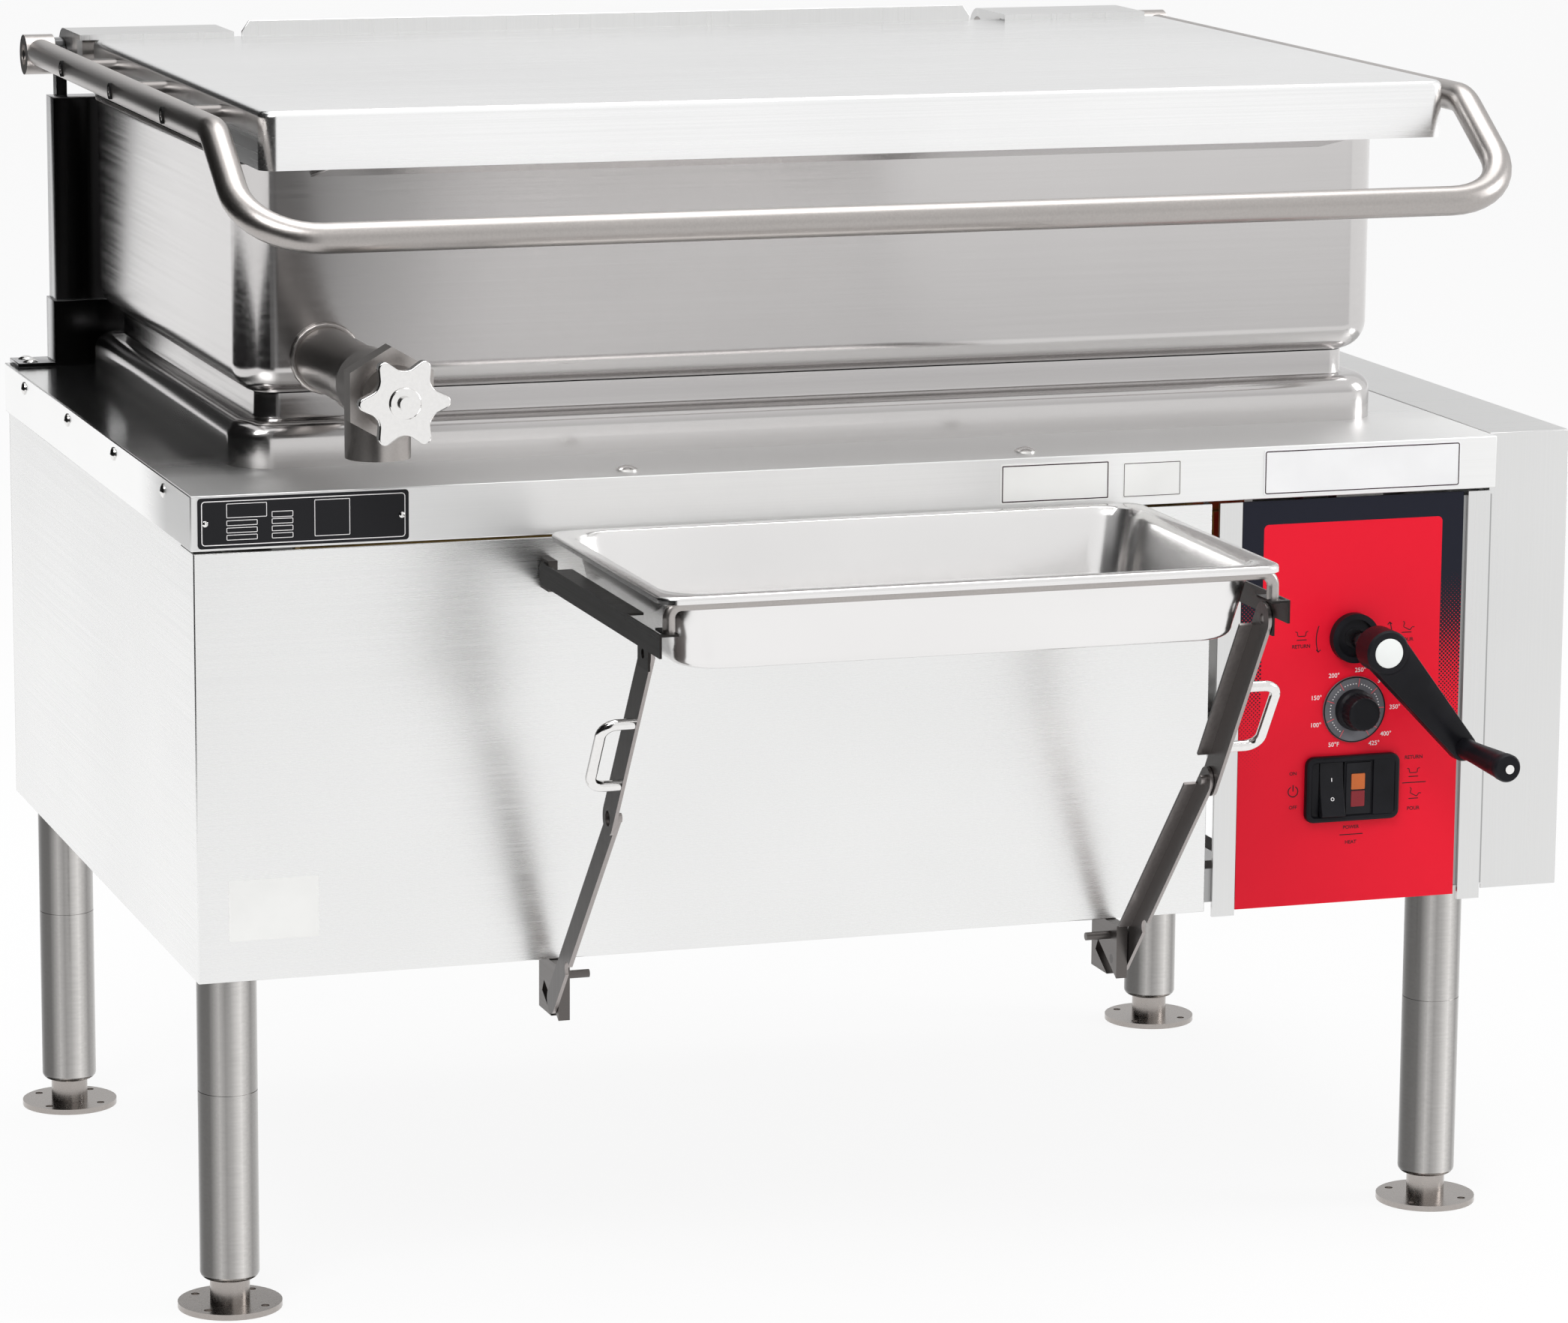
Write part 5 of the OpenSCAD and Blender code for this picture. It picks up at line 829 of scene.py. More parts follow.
class PAN_OT_valve(bpy.types.Operator):
    """Star knob of the draw-off valve with its hub and screw, and the weld ring at the pan"""
    bl_idname = "braising_pan.valve"
    bl_label = "Draw-off valve"

    def execute(self, context):
        upright("star_plate", star_outline(6, 38.0, 26.0, 5.4) + np.array([VALVE_X, VALVE_Z]), -135, 9.0,
                "bright", "knob", "polished", 1.1, 3, ("valve_knob",))
        hub = [(0, 8.0), (0, 13.0), (1.6, 13.0), (2.4, 12.2), (2.4, 6.2)]
        lathe("star_hub", hub, (VALVE_X, -144, VALVE_Z), FORWARD, "bright", "knob", "polished", 40)
        screw = [(0, 1.0), (0, 5.8), (2.2, 5.6), (3.6, 4.2), (4.1, 2.0), (4.2, 0.4)]
        lathe("star_screw", screw, (VALVE_X, -146.4, VALVE_Z), FORWARD, "tube_satin", "knob", "polished", 32)
        # The screw's two slots are thin near-black plates on its face, painted shade of the cut slots
        half_l, half_w = 3.6, 0.55
        slot = [(-half_l, -half_w), (half_l, -half_w), (half_l, half_w), (-half_l, half_w)]
        for k, turn in enumerate((20, 110)):
            c, s = math.cos(math.radians(turn)), math.sin(math.radians(turn))
            slab(f"screw_slot_{k}", slot, (VALVE_X, -149.9, VALVE_Z), (c, 0, s), (-s, 0, c), FORWARD, 0.75,
                 "hole", "knob", 0)
        self.weld()
        return {"FINISHED"}

    def weld(self):
        """Weld ring where the pipe meets the pan: a ring whose section radius ripples with sin 21 t"""
        ring_r, bead_r, bead_y, ripple, ripples, wall_y = 27.5, 3.0, 2.2, 0.2, 21, 118.0
        t = circle(96)
        phi = np.linspace(0, 2 * math.pi, 13)[:, None]
        radius = ring_r + (bead_r + ripple * np.sin(ripples * t)) * np.cos(phi)
        y = wall_y + bead_y * np.sin(phi) + 0 * t
        rings = np.stack([VALVE_X + radius * np.cos(t), y, VALVE_Z + radius * np.sin(t)], -1)
        loft("valve_weld", rings, "tube_satin", "pan", "polished", (False, False))


def star_outline(count, tip, root, nose):
    """Outline of a star plate: at each point an arc of the nose radius, then a valley whose distance
    from the middle is root (1 + 1.8 t squared) at angle t from the valley's own middle"""
    dip = np.linspace(-0.2, 0.2, 5)
    far, half = root * (1 + 1.8 * dip ** 2), math.pi / count
    valley = np.stack([far * np.cos(half + dip), far * np.sin(half + dip)], -1)
    one = np.concatenate([arc(nose, -1.15, 1.15, 9, (tip - nose, 0)), valley])
    c, s = np.cos(circle(count)), np.sin(circle(count))
    turns = np.stack([c, s, -s, c], -1).reshape(-1, 2, 2)
    return (one @ turns).reshape(-1, 2)


class PAN_OT_crank(bpy.types.Operator):
    """Black crank arm and its turning grip"""
    bl_idname = "braising_pan.crank"
    bl_label = "Crank"

    def execute(self, context):
        slope = math.radians(-49.5)
        along = np.array([math.cos(slope), 0, math.sin(slope)])
        across = np.array([-math.sin(slope), 0, math.cos(slope)])
        forward = np.array(FORWARD, float)
        centre = np.array([CRANK[0], -48.0, CRANK[1]])
        length, hub_r, end_r = 117.0, 19.5, 12.0
        right_angle = math.pi / 2
        outline = np.concatenate([arc(hub_r, right_angle, 3 * right_angle, 25),
                                  arc(end_r, -right_angle, right_angle, 21, (length, 0))])
        # The outline grows and shrinks about the middle of the bar, and the bar gets thinner to its end
        back, thinning = 9.8, 0.12
        middle = np.array([length * 0.5, 0])
        rel = outline - middle
        reach = np.linalg.norm(rel, axis=1)[:, None]
        rings = []
        for depth, grow in ((back, -1.5), (10.6, -0.4), (11.6, 0.0), (22.0, 0.0), (24.4, -0.5), (25.8, -1.8),
                            (26.6, -4.0)):
            xy = rel * (1 + grow / reach) + middle
            taper = np.clip(xy[:, 0] / length, 0, 1) * (depth - back) * thinning
            rings.append(centre + xy[:, :1] * along + xy[:, 1:] * across + (depth - taper)[:, None] * forward)
        outward(loft("crank_bar", rings, "black", "crank", "black", replaces=("crank_arm",)))
        hub = [(0, 10), (0, 18.7), (1, 19.7), (25.6, 19.7), (27.6, 18.2), (28.0, 16.8), (28.0, 13.6),
               (27.0, 13.2), (27.0, 9)]
        lathe("crank_hub", hub, centre, FORWARD, "black", "crank", "black", 56)
        cap = [(0, 2.0), (0, 12.6), (0.8, 13.0), (1.4, 12.5), (1.8, 10.0), (2.0, 1.0)]
        lathe("crank_cap", cap, centre + forward * 27.0, FORWARD, "cap_white", "crank", "polished", 48)
        grip = [(0, 4.6), (0, 8.4), (1.2, 9.4), (8, 9.3), (12, 9.0), (30, 9.6), (56, 10.9), (70, 11.5),
                (76, 11.4), (79, 12.2), (86, 12.3), (88, 11.0), (88.3, 4.6)]
        bar_front, grip_gap = 28 * 0.85, 0.5
        at = centre + along * length + forward * (bar_front + grip_gap)
        lathe("crank_handgrip", grip, at, FORWARD, "black", "grip", "black", 48, replaces=("crank_grip",))
        return {"FINISHED"}


class PAN_OT_controls(bpy.types.Operator):
    """Dial, rocker switch and the markings of the control panel"""
    bl_idname = "braising_pan.controls"
    bl_label = "Controls"

    def execute(self, context):
        face = PANEL_FACE_Y - 0.3
        at = (DIAL[0], face, DIAL[1])
        skirt = [(0, 4), (0, 28.8), (0.5, 29.6), (1.6, 29.6), (2.2, 28.9), (2.2, 17.0), (2.2, 15.0)]
        lathe("dial_skirt", skirt, at, FORWARD, "smoke", "dial", "black", 96, replaces=("thermostat_dial",))
        rim = [(1.9, 28.2), (2.5, 28.3), (2.5, 29.3), (1.9, 29.4), (1.9, 28.2)]
        lathe("dial_rim", rim, at, FORWARD, "black_gloss", "dial", "black", 96)
        self.knob(face)
        # Red lines at the numbers and rows of pale dots between them
        mark_y, dot_step = face - 2.15, math.radians(6.6)
        marks = [scale_angle(v) for v in SCALE]
        spokes("dial_lines", marks, (20.5, 28.0), 0.55, mark_y, 0.2, "scale_red")
        dots = []
        for a, b in zip(marks[:-1], marks[1:]):
            count = max(round((a - b) / dot_step), 1)
            dots += [a + (b - a) * k / count for k in range(1, count)]
        spokes("dial_dots", dots, (22.6, 23.5), 0.9, mark_y, 0.2, "white_mark")
        switch_housing()
        return {"FINISHED"}

    def knob(self, face):
        """Knob of the dial: rings whose radius drops by the flute's depth on three steps of every five"""
        steps, flute_every, flute_depth = 120, 5, 0.5
        t = circle(steps)
        flute = np.where(np.arange(steps) % flute_every < 2, 0.0, flute_depth)
        # Distance from the face, radius, and share of the flute's depth
        profile = np.array([(2.2, 18.4, 0), (8.5, 18.0, 0), (10.0, 16.6, 0), (10.6, 15.9, 1), (22.5, 15.4, 1),
                            (24.2, 14.9, 0.6), (25.0, 13.8, 0), (25.2, 11.5, 0), (24.9, 9.5, 0)])
        out, radius, share = profile[:, :1], profile[:, 1:2], profile[:, 2:]
        radius = radius - flute * share
        rings = np.stack([DIAL[0] + radius * np.cos(t), face - out + 0 * t, DIAL[1] + radius * np.sin(t)], -1)
        outward(loft("dial_knob", rings, "black", "dial", "black", smooth=30))


SCALE = (50, 100, 150, 200, 250, 300, 350, 400, 425)


def scale_angle(value):
    """Angle on the dial of a temperature: 50 stands at the lower left and the scale runs clockwise"""
    return math.radians(241.0 - 0.8 * (value - SCALE[0]))


def spokes(name, angles, reach, width, y, raised, finish):
    """Thin boxes along radii of the dial: each has its corners at both ends of its reach, half a width
    to either side, on the face and raised from it"""
    a = np.asarray(angles)
    along = np.stack([np.cos(a), 0 * a, np.sin(a)], -1)[:, None]
    across = np.stack([-np.sin(a), 0 * a, np.cos(a)], -1)[:, None]
    far = np.array([reach[0], reach[1], reach[1], reach[0]])[:, None]
    side = np.array([-0.5, -0.5, 0.5, 0.5])[:, None] * width
    flat = along * far + across * side + np.array([DIAL[0], y, DIAL[1]])
    co = np.stack([flat, flat + np.array(FORWARD) * raised], 1)
    box = [[0, 1, 2, 3], [7, 6, 5, 4]] + [[i, 4 + i, 4 + (i + 1) % 4, (i + 1) % 4] for i in range(4)]
    faces = (np.array(box) + 8 * np.arange(len(a))[:, None, None]).reshape(-1, 4).tolist()
    return outward(put(name, co, faces, finish, "dial", 0))


def ring_at(box, corner, y, steps=6):
    """A rounded box as an upright ring at one depth"""
    xz = round_rect(box, corner, steps)
    return np.column_stack([xz[:, 0], np.full(len(xz), y), xz[:, 1]])


def switch_housing():
    """Moulded switch housing with a raised rim and a well for the rocker, its two lenses and the blank,
    and the dished rocker that tips in the well"""
    face, rim, front = PANEL_FACE_Y, SWITCH, PANEL_FACE_Y - 7.0
    back, well, well_corner, depth = shrink(rim, 9), shrink(ROCKER, -1.0), 0.8, PANEL_FACE_Y + 12
    floor = front + 2.2
    rings = [ring_at(well, well_corner, depth), ring_at(back, 2, depth), ring_at(back, 2, face - 0.3)]
    for inset, corner, y in (
            (0.4, 7.6, face - 0.3), (0.0, 8.0, face - 1.2), (0.0, 8.0, front + 2.4), (0.5, 7.5, front + 0.9),
            (2.0, 6.5, front), (4.4, 4.5, front), (5.2, 3.8, front + 0.8), (5.6, 3.5, floor)):
        rings.append(ring_at(shrink(rim, inset), corner, y))
    rings += [ring_at(well, well_corner, floor), ring_at(well, well_corner, depth)]
    outward(loft("switch_case", rings, "black", "cabinet", "black", (False, False), 30,
                 ("switch_housing", "indicator_lens")))
    frame_t = 1.1
    for name, box, y, thick, finish, corner in (
            ("lens_frame", (409.0, 378.0, 432.5, 424.5), floor, frame_t, "black_gloss", 0.8),
            ("lens_upper", (413.6, 400.4, 426.6, 414.6), floor - frame_t, 0.5, "lens_amber", 0.8),
            ("lens_lower", (413.6, 385.0, 426.6, 399.2), floor - frame_t, 0.5, "lens_red", 0.8),
            ("switch_blank", (434.6, 377.0, 454.8, 426.6), floor, 1.9, "black", 1.2)):
        upright(name, round_rect(box, corner, 5), y, thick, finish, "cabinet", "black", 0.3, 2)
    rocker(face + 2)


def rocker(pivot_y):
    """Rocker: the arc of its dished face, reach - dish (1 - h squared) at share h of its half height,
    between its two ends, turned about the pivot, and its two raised signs"""
    reach, dish, sign_share, foot = 10.6, 2.4, 0.36, 3.0
    x0, z0, x1, z1 = ROCKER
    half = (z1 - z0) / 2
    pivot = np.array([x0, pivot_y, (z0 + z1) / 2])
    height = np.linspace(-half, half, 13)
    dished = -(reach - dish * (1 - (height / half) ** 2))
    section = np.concatenate([np.column_stack([dished, height]),
                              [(-foot, half), (2.0, half * 0.5), (2.0, -half * 0.5), (-foot, -half)]])
    tip = math.radians(-10.0)
    c, s = math.cos(tip), math.sin(tip)
    slab("rocker_cap", section @ np.array([[c, s], [-s, c]]), pivot, (0, 1, 0), UP, RIGHT, x1 - x0,
         "black_gloss", "rocker", 0.7, 3, ("power_rocker",))
    out, up, across = np.array([0, -c, -s]), np.array([0, -s, c]), np.array(RIGHT, float)
    middle = pivot + across * (x1 - x0) / 2
    sign_out = reach - dish * (1 - sign_share ** 2)
    half_w, half_l = 0.4, 1.6
    bar = [(-half_w, -half_l), (half_w, -half_l), (half_w, half_l), (-half_w, half_l)]
    slab("rocker_on", bar, middle + out * sign_out + up * half * 0.34, RIGHT, up, out, 0.25, "white_mark",
         "rocker", 0)
    t = circle(32)[:, None]
    base = middle - up * half * sign_share
    rings = [base + out * (sign_out + lift - 0.05) + r * (np.cos(t) * across + np.sin(t) * up)
             for r, lift in ((1.7, 0), (1.7, 0.3), (1.1, 0.3), (1.1, 0), (1.7, 0))]
    outward(loft("rocker_off", rings, "white_mark", "rocker", "plate_white", (False, False), 0))


def lettering(name, words, size, at, finish, body, bold=0.0):
    """Generic words or numbers as thin raised letters on an upright face looking forward"""
    curve = bpy.data.curves.new(name, "FONT")
    curve.body = words
    curve.size = size / 1000.0
    curve.align_x = "CENTER"
    curve.align_y = "CENTER"
    # Half the thickness of the letters in m, which is how far they stand out
    curve.extrude = 0.15 / 2000.0
    curve.resolution_u = 3
    if bold:
        curve.offset = size * bold / 1000.0
    temp = bpy.data.objects.new(name + "_curve", curve)
    bpy.context.scene.collection.objects.link(temp)
    bpy.context.view_layer.update()
    mesh = bpy.data.meshes.new_from_object(temp.evaluated_get(bpy.context.evaluated_depsgraph_get()))
    bpy.data.objects.remove(temp)
    bpy.data.curves.remove(curve)
    mesh.name = name
    mesh.materials.clear()
    mesh.materials.append(MATS[finish])
    where = place([(at[0], PANEL_FACE_Y, at[1])])[0]
    mesh.transform(Matrix.Translation(where) @ Matrix.Rotation(math.pi / 2, 4, "X"))
    obj = bpy.data.objects.new(name, mesh)
    bpy.context.scene.collection.objects.link(obj)
    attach(obj, body)
    return obj


def line_mark(name, points, width):
    """Printed line of one width through points on the panel face, as a thin closed strip"""
    p = np.asarray(points, float)
    d = np.gradient(p, axis=0)
    d /= np.linalg.norm(d, axis=1)[:, None]
    side = np.column_stack([-d[:, 1], d[:, 0]]) * width * 0.5
    outline = np.concatenate([p + side, (p - side)[::-1]])
    return upright(name, outline, PANEL_FACE_Y, 0.12, "dark_mark", "cabinet", "plate_black", 0)


PAN_SIGN = ((-6.0, 4.2), (-4.2, 3.6), (-3.6, 0.4), (-3.0, 0.0),
            (3.0, 0.0), (3.6, 0.4), (4.2, 3.6), (6.0, 4.2))


def tilt_sign(name, at, angle):
    """Small drawing of an open pan turned by the angle of tilt, over a level base line"""
    a, half, drop, width = math.radians(angle), 4.6, 3.4, 0.75
    turn = np.array([[math.cos(a), -math.sin(a)], [math.sin(a), math.cos(a)]])
    line_mark(f"{name}_pan_0", np.array(PAN_SIGN) @ turn.T + np.array(at), width)
    line_mark(f"{name}_base", [(at[0] - half, at[1] - drop), (at[0] + half, at[1] - drop)], width)


class PAN_OT_markings(bpy.types.Operator):
    """Numbers round the dial, the words at the switch and the signs for tilting"""
    bl_idname = "braising_pan.markings"
    bl_label = "Markings"

    def execute(self, context):
        places = ((-18.0, -31.0), (-35.6, -12.6), (-35.6, 11.8), (-19.2, 30.8), (5.8, 34.6), (27.6, 24.0),
                  (39.6, -0.4), (31.6, -24.0), (20.6, -31.8))
        for value, (right, up) in zip(SCALE, places):
            word = f"{value}°F" if value == SCALE[0] else f"{value}°"
            lettering(f"dial_number_{value}", word, 5.6, (DIAL[0] + right, DIAL[1] + up), "white_mark",
                      "cabinet", bold=0.006)
        for name, word, size, at in (
                ("switch_on", "ON", 4.4, (360.5, 416.6)), ("switch_off", "OFF", 4.4, (361.0, 386.2)),
                ("under_power", "POWER", 4.4, (417.0, 365.3)), ("under_heat", "HEAT", 4.4, (417.0, 351.8)),
                ("tilt_return", "RETURN", 4.6, (475.6, 424.8)), ("tilt_pour", "POUR", 4.6, (476.4, 378.6)),
                ("crank_return", "RETURN", 4.6, (365.3, 530.0)), ("crank_pour", "POUR", 4.6, (466.0, 531.0))):
            lettering(name, word, size, at, "dark_mark", "cabinet", bold=0.018)
        line_mark("power_line", [(406.3, 358.8), (428.4, 358.8)], 0.8)
        line_mark("tilt_line", [(465.2, 402.0), (487.9, 402.0)], 0.8)
        ring_x, ring_z = 360.8, 400.6
        line_mark("power_ring", arc(4.6, math.radians(118), math.radians(422), 41, (ring_x, ring_z)), 0.95)
        line_mark("power_bar", [(ring_x, ring_z + 0.2), (ring_x, ring_z + 6.0)], 0.95)
        for name, at, angle in (
                ("sign_level", (475.7, 410.8), 0), ("sign_tipped", (476.2, 391.0), -28),
                ("sign_down", (365.6, 539.2), 0), ("sign_up", (465.5, 541.0), -28)):
            tilt_sign(name, at, angle)
        # Curved arrows: part of an ellipse about the crank's height, with a head at the end
        half_w, half_h, mid_z = 17.5, 24.0, 535.5
        for name, x, side, start, end in (
                ("arrow_down", 397.0, 1, 150, 208), ("arrow_up", 434.0, -1, -28, 30)):
            a = np.radians(np.linspace(start, end, 15))
            bow = np.column_stack([x + half_w * np.cos(a), mid_z + half_h * np.sin(a)])
            line_mark(name, bow, 0.9)
            tip = bow[-1]
            line_mark(name + "_head", [tip + (-1.9, 2.2 * side), tip, tip + (2.2, 1.9 * side)], 0.9)
        return {"FINISHED"}


class PAN_OT_plates(bpy.types.Operator):
    """Blank plates and labels on the front"""
    bl_idname = "braising_pan.plates"
    bl_label = "Plates and labels"

    def execute(self, context):
        rating_x, foot, plate_t = -617.0, 663.0, 0.8
        white, black = ("white_mark", "pan", "plate_white"), ("dark_mark", "pan", "plate_black")
        plate("rating_blank", (rating_x, foot + 2, rating_x + 178, foot + 44), 0, plate_t,
              ("plate_black", "pan", "plate_black"), 3, ("rating_plate",))
        border("rating_line", (-614, foot + 4.5, -442, foot + 41.5), -plate_t, 0.7, white, 3)
        # Empty fields of the plate, measured from its left end and from the apron's foot line
        fields = ((24, 27, 58, 39), (24, 20.5, 50, 25), (24, 14.5, 50, 19), (24, 8.5, 50, 13),
                  (62, 26, 80, 31), (62, 20.5, 80, 25), (62, 14.5, 80, 19), (62, 8.5, 80, 13),
                  (98, 8.5, 128, 39))
        for k, (x0, z0, x1, z1) in enumerate(fields):
            box = (rating_x + x0, foot + z0, rating_x + x1, foot + z1)
            border(f"rating_field_{k}", box, -plate_t, 0.5, white, 0.8)
        rivet = [(0, 2.6), (0.8, 2.5), (1.4, 1.6), (1.6, 0.4)]
        for k, x in enumerate((-611, -445)):
            at = (x, -plate_t, foot + 23)
            lathe(f"rating_rivet_{k}", rivet, at, FORWARD, "bright", "pan", "polished", 24)
        plate("name_blank", (325, foot + 3, 511, foot + 43), 0, plate_t,
              ("plate_white", "pan", "plate_white"), 2.5, ("name_plate",))
        border("name_line", (326.2, foot + 4.2, 509.8, foot + 41.8), -plate_t, 0.9, black, 2)
        label, label_t = ("label_white", "pan", "plate_white"), 0.25
        plate("label_wide", (82, 669.5, 182, 704), 0, label_t, label, 1)
        border("label_wide_line", (83.4, 670.9, 180.6, 702.6), -label_t, 0.9, black, 0.8)
        plate("label_small", (194, 670, 248, 701), 0, label_t, label, 1)
        border("label_small_line", (195, 671, 247, 700), -label_t, 0.5, black, 0.8)
        plate("label_low", (-594, 332.5, -517, 384.5), PANEL_FACE_Y, 0.2,
              ("label_white", "cabinet", "plate_white"), 1)
        return {"FINISHED"}


def plate(name, box, y, thick, look, corner, replaces=()):
    """Blank plate: a rounded box standing out from y. Its look is its finish, body and slot, and the slot is
    not used
    """
    return upright(name, round_rect(box, corner, 6), y, thick, *look, 0.15, 1, replaces)


def border(name, box, y, width, look, corner):
    """Printed line of one width along the inside of a rounded box, as a thin closed band"""
    raised, steps = 0.12, 5
    inner, inner_corner = shrink(box, width), max(corner - width, 0.3)
    rings = [ring_at(box, corner, y, steps), ring_at(box, corner, y - raised, steps),
             ring_at(inner, inner_corner, y - raised, steps), ring_at(inner, inner_corner, y, steps),
             ring_at(box, corner, y, steps)]
    return outward(loft(name, rings, *look, (False, False), 0))


class PAN_OT_stage(bpy.types.Operator):
    """Pale floor and backdrop, world, lamps, cards and the camera at the photograph's angle"""
    bl_idname = "braising_pan.stage"
    bl_label = "Stage"

    def execute(self, context):
        scene = context.scene
        build_floor()
        build_world(scene)
        build_lamps(scene)
        build_cards()
        build_camera(scene)
        scene.view_settings.view_transform = "Standard"
        return {"FINISHED"}


def build_floor():
    """A broad floor that curves up into a backdrop: flat, then a quarter circle, then upright"""
    t = np.linspace(0, math.pi / 2, 17)
    far, r, half = 9.0, 3.0, 22.0
    prof = [(-16.0, 0.0)] + [(far + r * math.sin(a), r * (1 - math.cos(a))) for a in t] + [(far + r, 12.0)]
    prof = np.array(prof)
    co = np.concatenate([np.column_stack([np.full(len(prof), s * half), prof]) for s in (-1, 1)])
    n = len(prof)
    faces = [[i, n + i, n + i + 1, i + 1] for i in range(n - 1)]
    mesh = bpy.data.meshes.new("floor")
    co[:, 2] -= 0.0005
    mesh.from_pydata(co.tolist(), [], faces)
    mesh.shade_smooth()
    obj = bpy.data.objects.new("floor", mesh)
    bpy.context.scene.collection.objects.link(obj)
    mesh.materials.append(floor_white())


def floor_white():
    """Matt white that keeps the object's shadow, and glows white to the camera and in reflections"""
    material, tree, shader = node_graph("floor_white")
    link = tree.links.new
    path = tree.nodes.new("ShaderNodeLightPath")
    glow = add(tree, "ShaderNodeEmission")
    glow.inputs["Color"].default_value = (1, 1, 1, 1)
    shader.inputs["Base Color"].default_value = (0.86, 0.86, 0.86, 1)
    shader.inputs["Roughness"].default_value = 0.9
    shader.inputs["Specular IOR Level"].default_value = 0.0
    # In reflections the floor is brighter low down than the backdrop behind it
    place_of = tree.nodes.new("ShaderNodeNewGeometry")
    split = tree.nodes.new("ShaderNodeSeparateXYZ")
    link(place_of.outputs["Position"], split.inputs["Vector"])
    rise = map_range(tree, split.outputs["Z"], 0.1, 1.2, 1.1, 0.80)
    keep = add(tree, "ShaderNodeMix", data_type="FLOAT")
    link(path.outputs["Is Camera Ray"], keep.inputs["Factor"])
    link(rise, keep.inputs[2])
    keep.inputs[3].default_value = 1.0
    link(keep.outputs[0], glow.inputs["Strength"])
    # Share of the glow for each kind of ray
    share = 0.0
    for ray, part in (("Is Camera Ray", 0.90), ("Is Glossy Ray", 0.94), ("Is Transmission Ray", 0.94)):
        share = math_node(tree, "MULTIPLY_ADD", path.outputs[ray], part, share)
    mix = tree.nodes.new("ShaderNodeMixShader")
    for source, socket in ((share, mix.inputs["Fac"]), (shader.outputs[0], mix.inputs[1]),
                           (glow.outputs[0], mix.inputs[2]),
                           (mix.outputs[0], tree.nodes["Material Output"].inputs["Surface"])):
        link(source, socket)
    return material


def build_world(scene):
    """White to the camera and to reflections, dimmer as a light on matt surfaces"""
    world = bpy.data.worlds.new("studio")
    scene.world = world
    world.use_nodes = True
    tree = world.node_tree
    back = tree.nodes["Background"]
    path = tree.nodes.new("ShaderNodeLightPath")
    mix = add(tree, "ShaderNodeMix", data_type="RGBA")
    seen = math_node(tree, "MAXIMUM", path.outputs["Is Camera Ray"], path.outputs["Is Glossy Ray"])
    tree.links.new(seen, mix.inputs["Factor"])
    mix.inputs[6].default_value = (0.56, 0.56, 0.57, 1)
    mix.inputs[7].default_value = (0.98, 0.98, 0.98, 1)
    tree.links.new(mix.outputs[2], back.inputs["Color"])
    back.inputs["Strength"].default_value = 1.0


def build_lamps(scene):
    """Three soft lamps that look at one point in the cabinet. Places and sizes are in m, powers in W"""
    target = Vector((0, 0.1, 0.6))
    for name, at, size, power in (
            ("key", (-2.2, -3.0, 4.2), (2.6, 2.0), 130.0),
            ("top", (0.6, 0.6, 4.6), (3.0, 3.0), 90.0),
            ("right", (4.2, -1.2, 2.2), (1.6, 2.4), 60.0)):
        lamp = bpy.data.lights.new(name, "AREA")
        lamp.shape = "RECTANGLE"
        lamp.size, lamp.size_y = size
        lamp.energy = power
        obj = bpy.data.objects.new(name, lamp)
        scene.collection.objects.link(obj)
        obj.location = at
        obj.rotation_euler = (target - Vector(at)).to_track_quat("-Z", "Y").to_euler()


def build_cards():
    """Cards that only reflections see: dark ones at the left and behind give the corners and the post
    their depth, and a graded one in front shades the left of the pan. Places are in m"""
    left, front, back = -2.6, -1.5, 4.2
    near, far, behind = -0.56, -0.8, 1.5
    card("left_card", [(left, front, 0.0), (left, back, 0.0), (left, back, 4.6), (left, front, 4.6)])
    card("front_left_card", [(left, front, 0.0), (near, front, 0.0), (near, front, 2.2), (left, front, 2.2)])
    card("back_left_card", [(left, back, 0.95), (far, back, 0.95), (far, back, 7.0), (left, back, 7.0)])
    lid_side = [(-1.35, behind, 0.485), (-0.66, behind, 0.905), (-0.66, behind, 1.3), (-1.35, behind, 1.3)]
    card("lid_side_card", lid_side, 0.04)
    shade_card()


def card(name, corners, tone=0.01):
    """A flat card of one glowing tone that only glossy rays see. Returns its node tree and its glow"""
    mesh = bpy.data.meshes.new(name)
    mesh.from_pydata([tuple(c) for c in np.array(corners) + SHIFT / 1000], [], [(0, 1, 2, 3)])
    obj = bpy.data.objects.new(name, mesh)
    bpy.context.scene.collection.objects.link(obj)
    material, tree, _ = node_graph(name)
    glow = add(tree, "ShaderNodeEmission", Strength=1.0)
    glow.inputs["Color"].default_value = (*grey(tone), 1)
    tree.links.new(glow.outputs[0], tree.nodes["Material Output"].inputs["Surface"])
    mesh.materials.append(material)
    for ray in HIDDEN_RAYS:
        setattr(obj, "visible_" + ray, False)
    return tree, glow


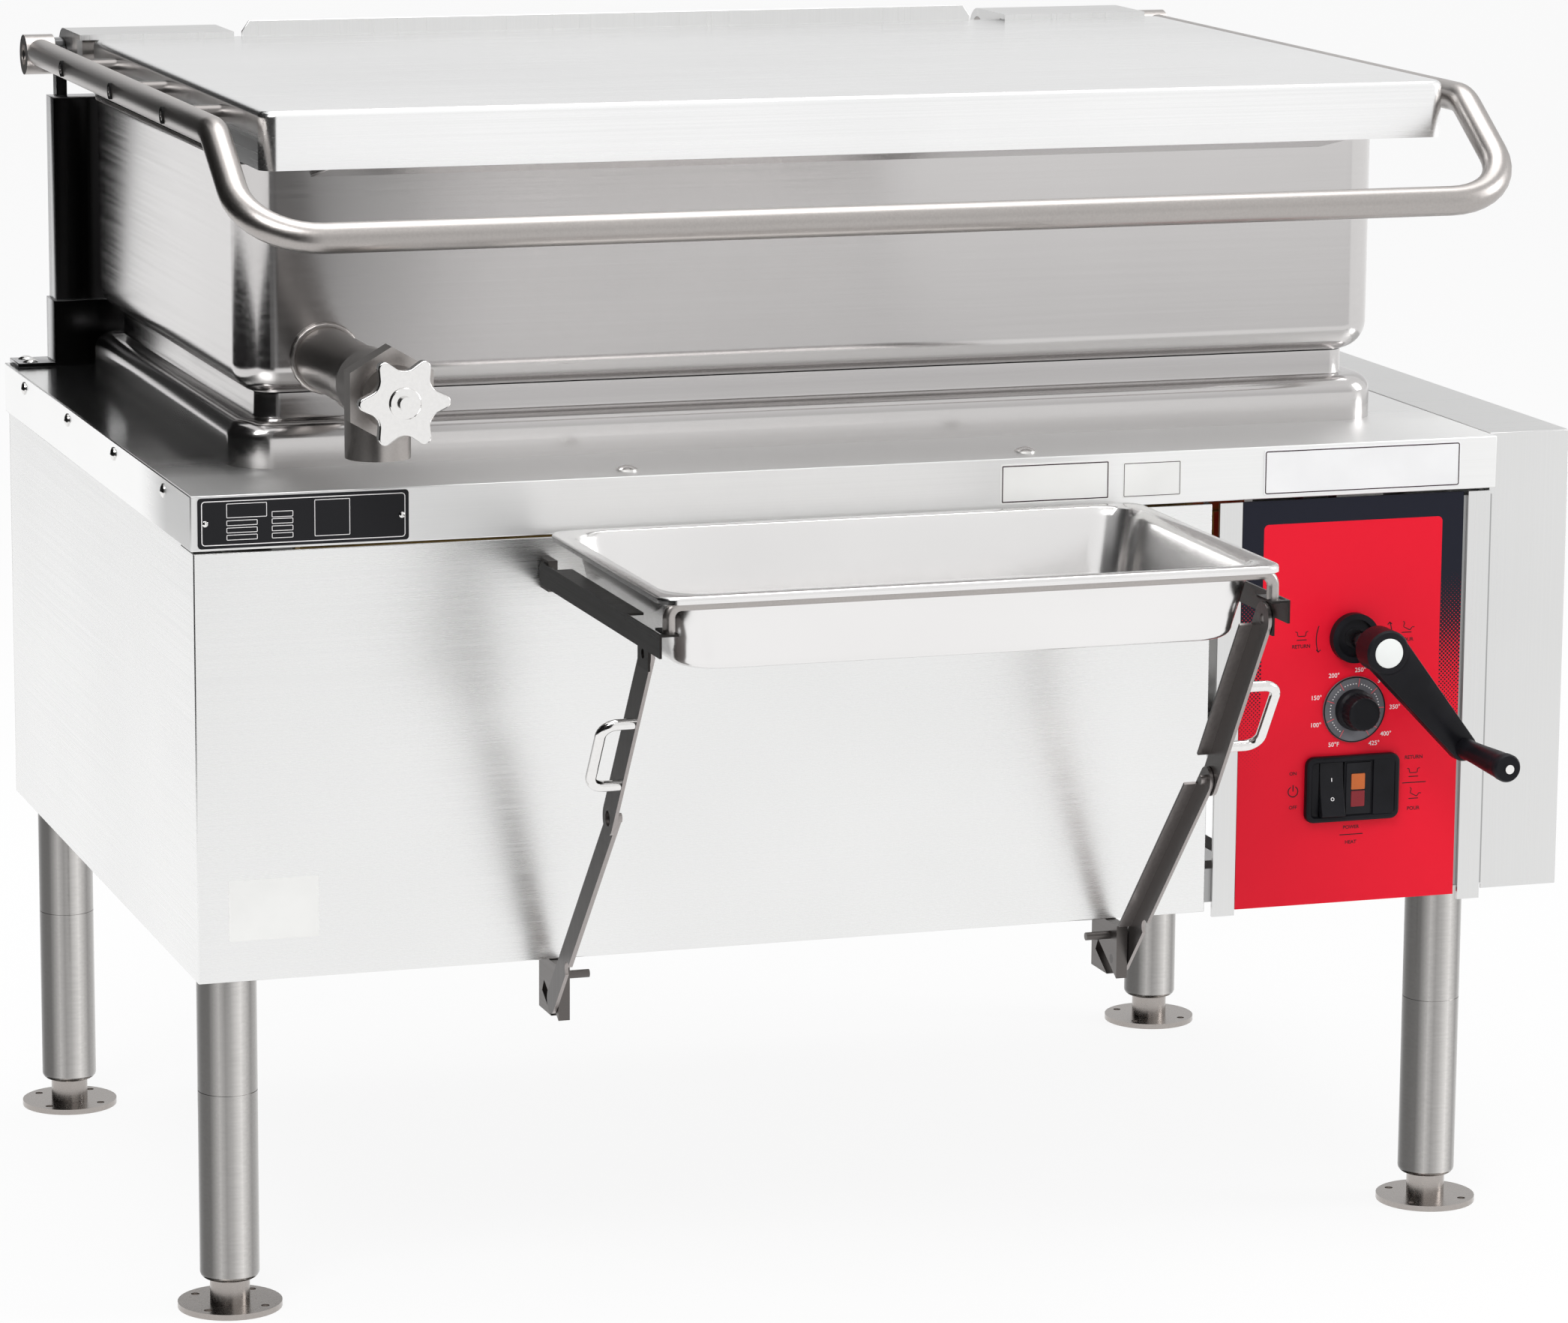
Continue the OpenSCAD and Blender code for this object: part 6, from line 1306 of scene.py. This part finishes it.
def shade_card():
    """A card close before the pan, clear to the right and darker to the left, that shades its front"""
    left, right, y, foot, head = -0.56, 0.62, -0.03, 0.737, 0.945
    corners = [(left, y, foot), (right, y, foot), (right, y, head), (left, y, head)]
    tree, glow = card("shade_card", corners, 0.17)
    axes = split_axes(tree)
    x, z = axes["X"], axes["Z"]
    # The edge leans: it lies further right at the top than at the bottom
    leaning = math_node(tree, "MULTIPLY_ADD", z, -0.5, x)
    fade = map_range(tree, leaning, -0.98, -0.66, kind="SMOOTHSTEP")
    # Clearest at the top of the pan, a little less so below, and clear again at its own foot
    rise = map_range(tree, z, foot, head - 0.04, 0.72, 1.0)
    clear_foot = map_range(tree, z, foot, foot + 0.015, 1.0, 0.0)
    seen = math_node(tree, "MAXIMUM", math_node(tree, "MULTIPLY", fade, rise), clear_foot)
    clear = tree.nodes.new("ShaderNodeBsdfTransparent")
    mix = tree.nodes.new("ShaderNodeMixShader")
    tree.links.new(seen, mix.inputs["Fac"])
    tree.links.new(glow.outputs[0], mix.inputs[1])
    tree.links.new(clear.outputs[0], mix.inputs[2])
    tree.links.new(mix.outputs[0], tree.nodes["Material Output"].inputs["Surface"])


def build_camera(scene):
    """Camera fitted to the photograph: heading, dip and roll in degrees, and its place in mm"""
    heading, dip, roll = (math.radians(v) for v in (-18.35, -11.14, 0.39))
    focal_px = 7923.0
    at = np.array([-1667.2, -4690.4, 1516.9])
    ca, sa, cp, sp, cr, sr = (f(v) for v in (heading, dip, roll) for f in (math.cos, math.sin))
    rz = np.array([[ca, sa, 0], [-sa, ca, 0], [0, 0, 1]])
    rx = np.array([[1, 0, 0], [0, cp, sp], [0, -sp, cp]])
    ry = np.array([[cr, 0, sr], [0, 1, 0], [-sr, 0, cr]])
    rows = ry @ rx @ rz
    cam = bpy.data.cameras.new("camera")
    cam.sensor_fit = "HORIZONTAL"
    cam.sensor_width = 36.0
    cam.lens = focal_px * 36.0 / IMAGE_W
    cam.clip_end = 100.0
    obj = bpy.data.objects.new("camera", cam)
    scene.collection.objects.link(obj)
    m = np.eye(4)
    m[:3, 0], m[:3, 1], m[:3, 2], m[:3, 3] = rows[0], rows[2], -rows[1], place([at])[0]
    obj.matrix_world = Matrix(m.tolist())
    scene.camera = obj


STEPS = (
    PAN_OT_stage, PAN_OT_materials, PAN_OT_pan, PAN_OT_lid, PAN_OT_handle, PAN_OT_sheetwork,
    PAN_OT_tray, PAN_OT_valve, PAN_OT_crank, PAN_OT_controls, PAN_OT_markings, PAN_OT_plates,
)


class PAN_PT_sidebar(bpy.types.Panel):
    """Lists the pieces of the braising pan"""
    bl_label = "Braising pan"
    bl_idname = "PAN_PT_sidebar"
    bl_space_type = "VIEW_3D"
    bl_region_type = "UI"
    bl_category = "Braising Pan"

    def draw(self, context):
        layout = self.layout
        for group in (context.scene.pan_looks, context.scene.pan_shapes):
            for key in group.__annotations__:
                layout.prop(group, key)
        for step in STEPS:
            layout.operator(step.bl_idname)


CLASSES = (PanLooks, PanShapes, *STEPS, PAN_PT_sidebar)


def register():
    for cls in CLASSES:
        bpy.utils.register_class(cls)
    bpy.types.Scene.pan_looks = PointerProperty(type=PanLooks)
    bpy.types.Scene.pan_shapes = PointerProperty(type=PanShapes)


def unregister():
    del bpy.types.Scene.pan_looks
    del bpy.types.Scene.pan_shapes
    for cls in reversed(CLASSES):
        bpy.utils.unregister_class(cls)


def main():
    register()
    for step in STEPS:
        family, name = step.bl_idname.split(".")
        getattr(getattr(bpy.ops, family), name)()


if __name__ == "__main__":
    main()
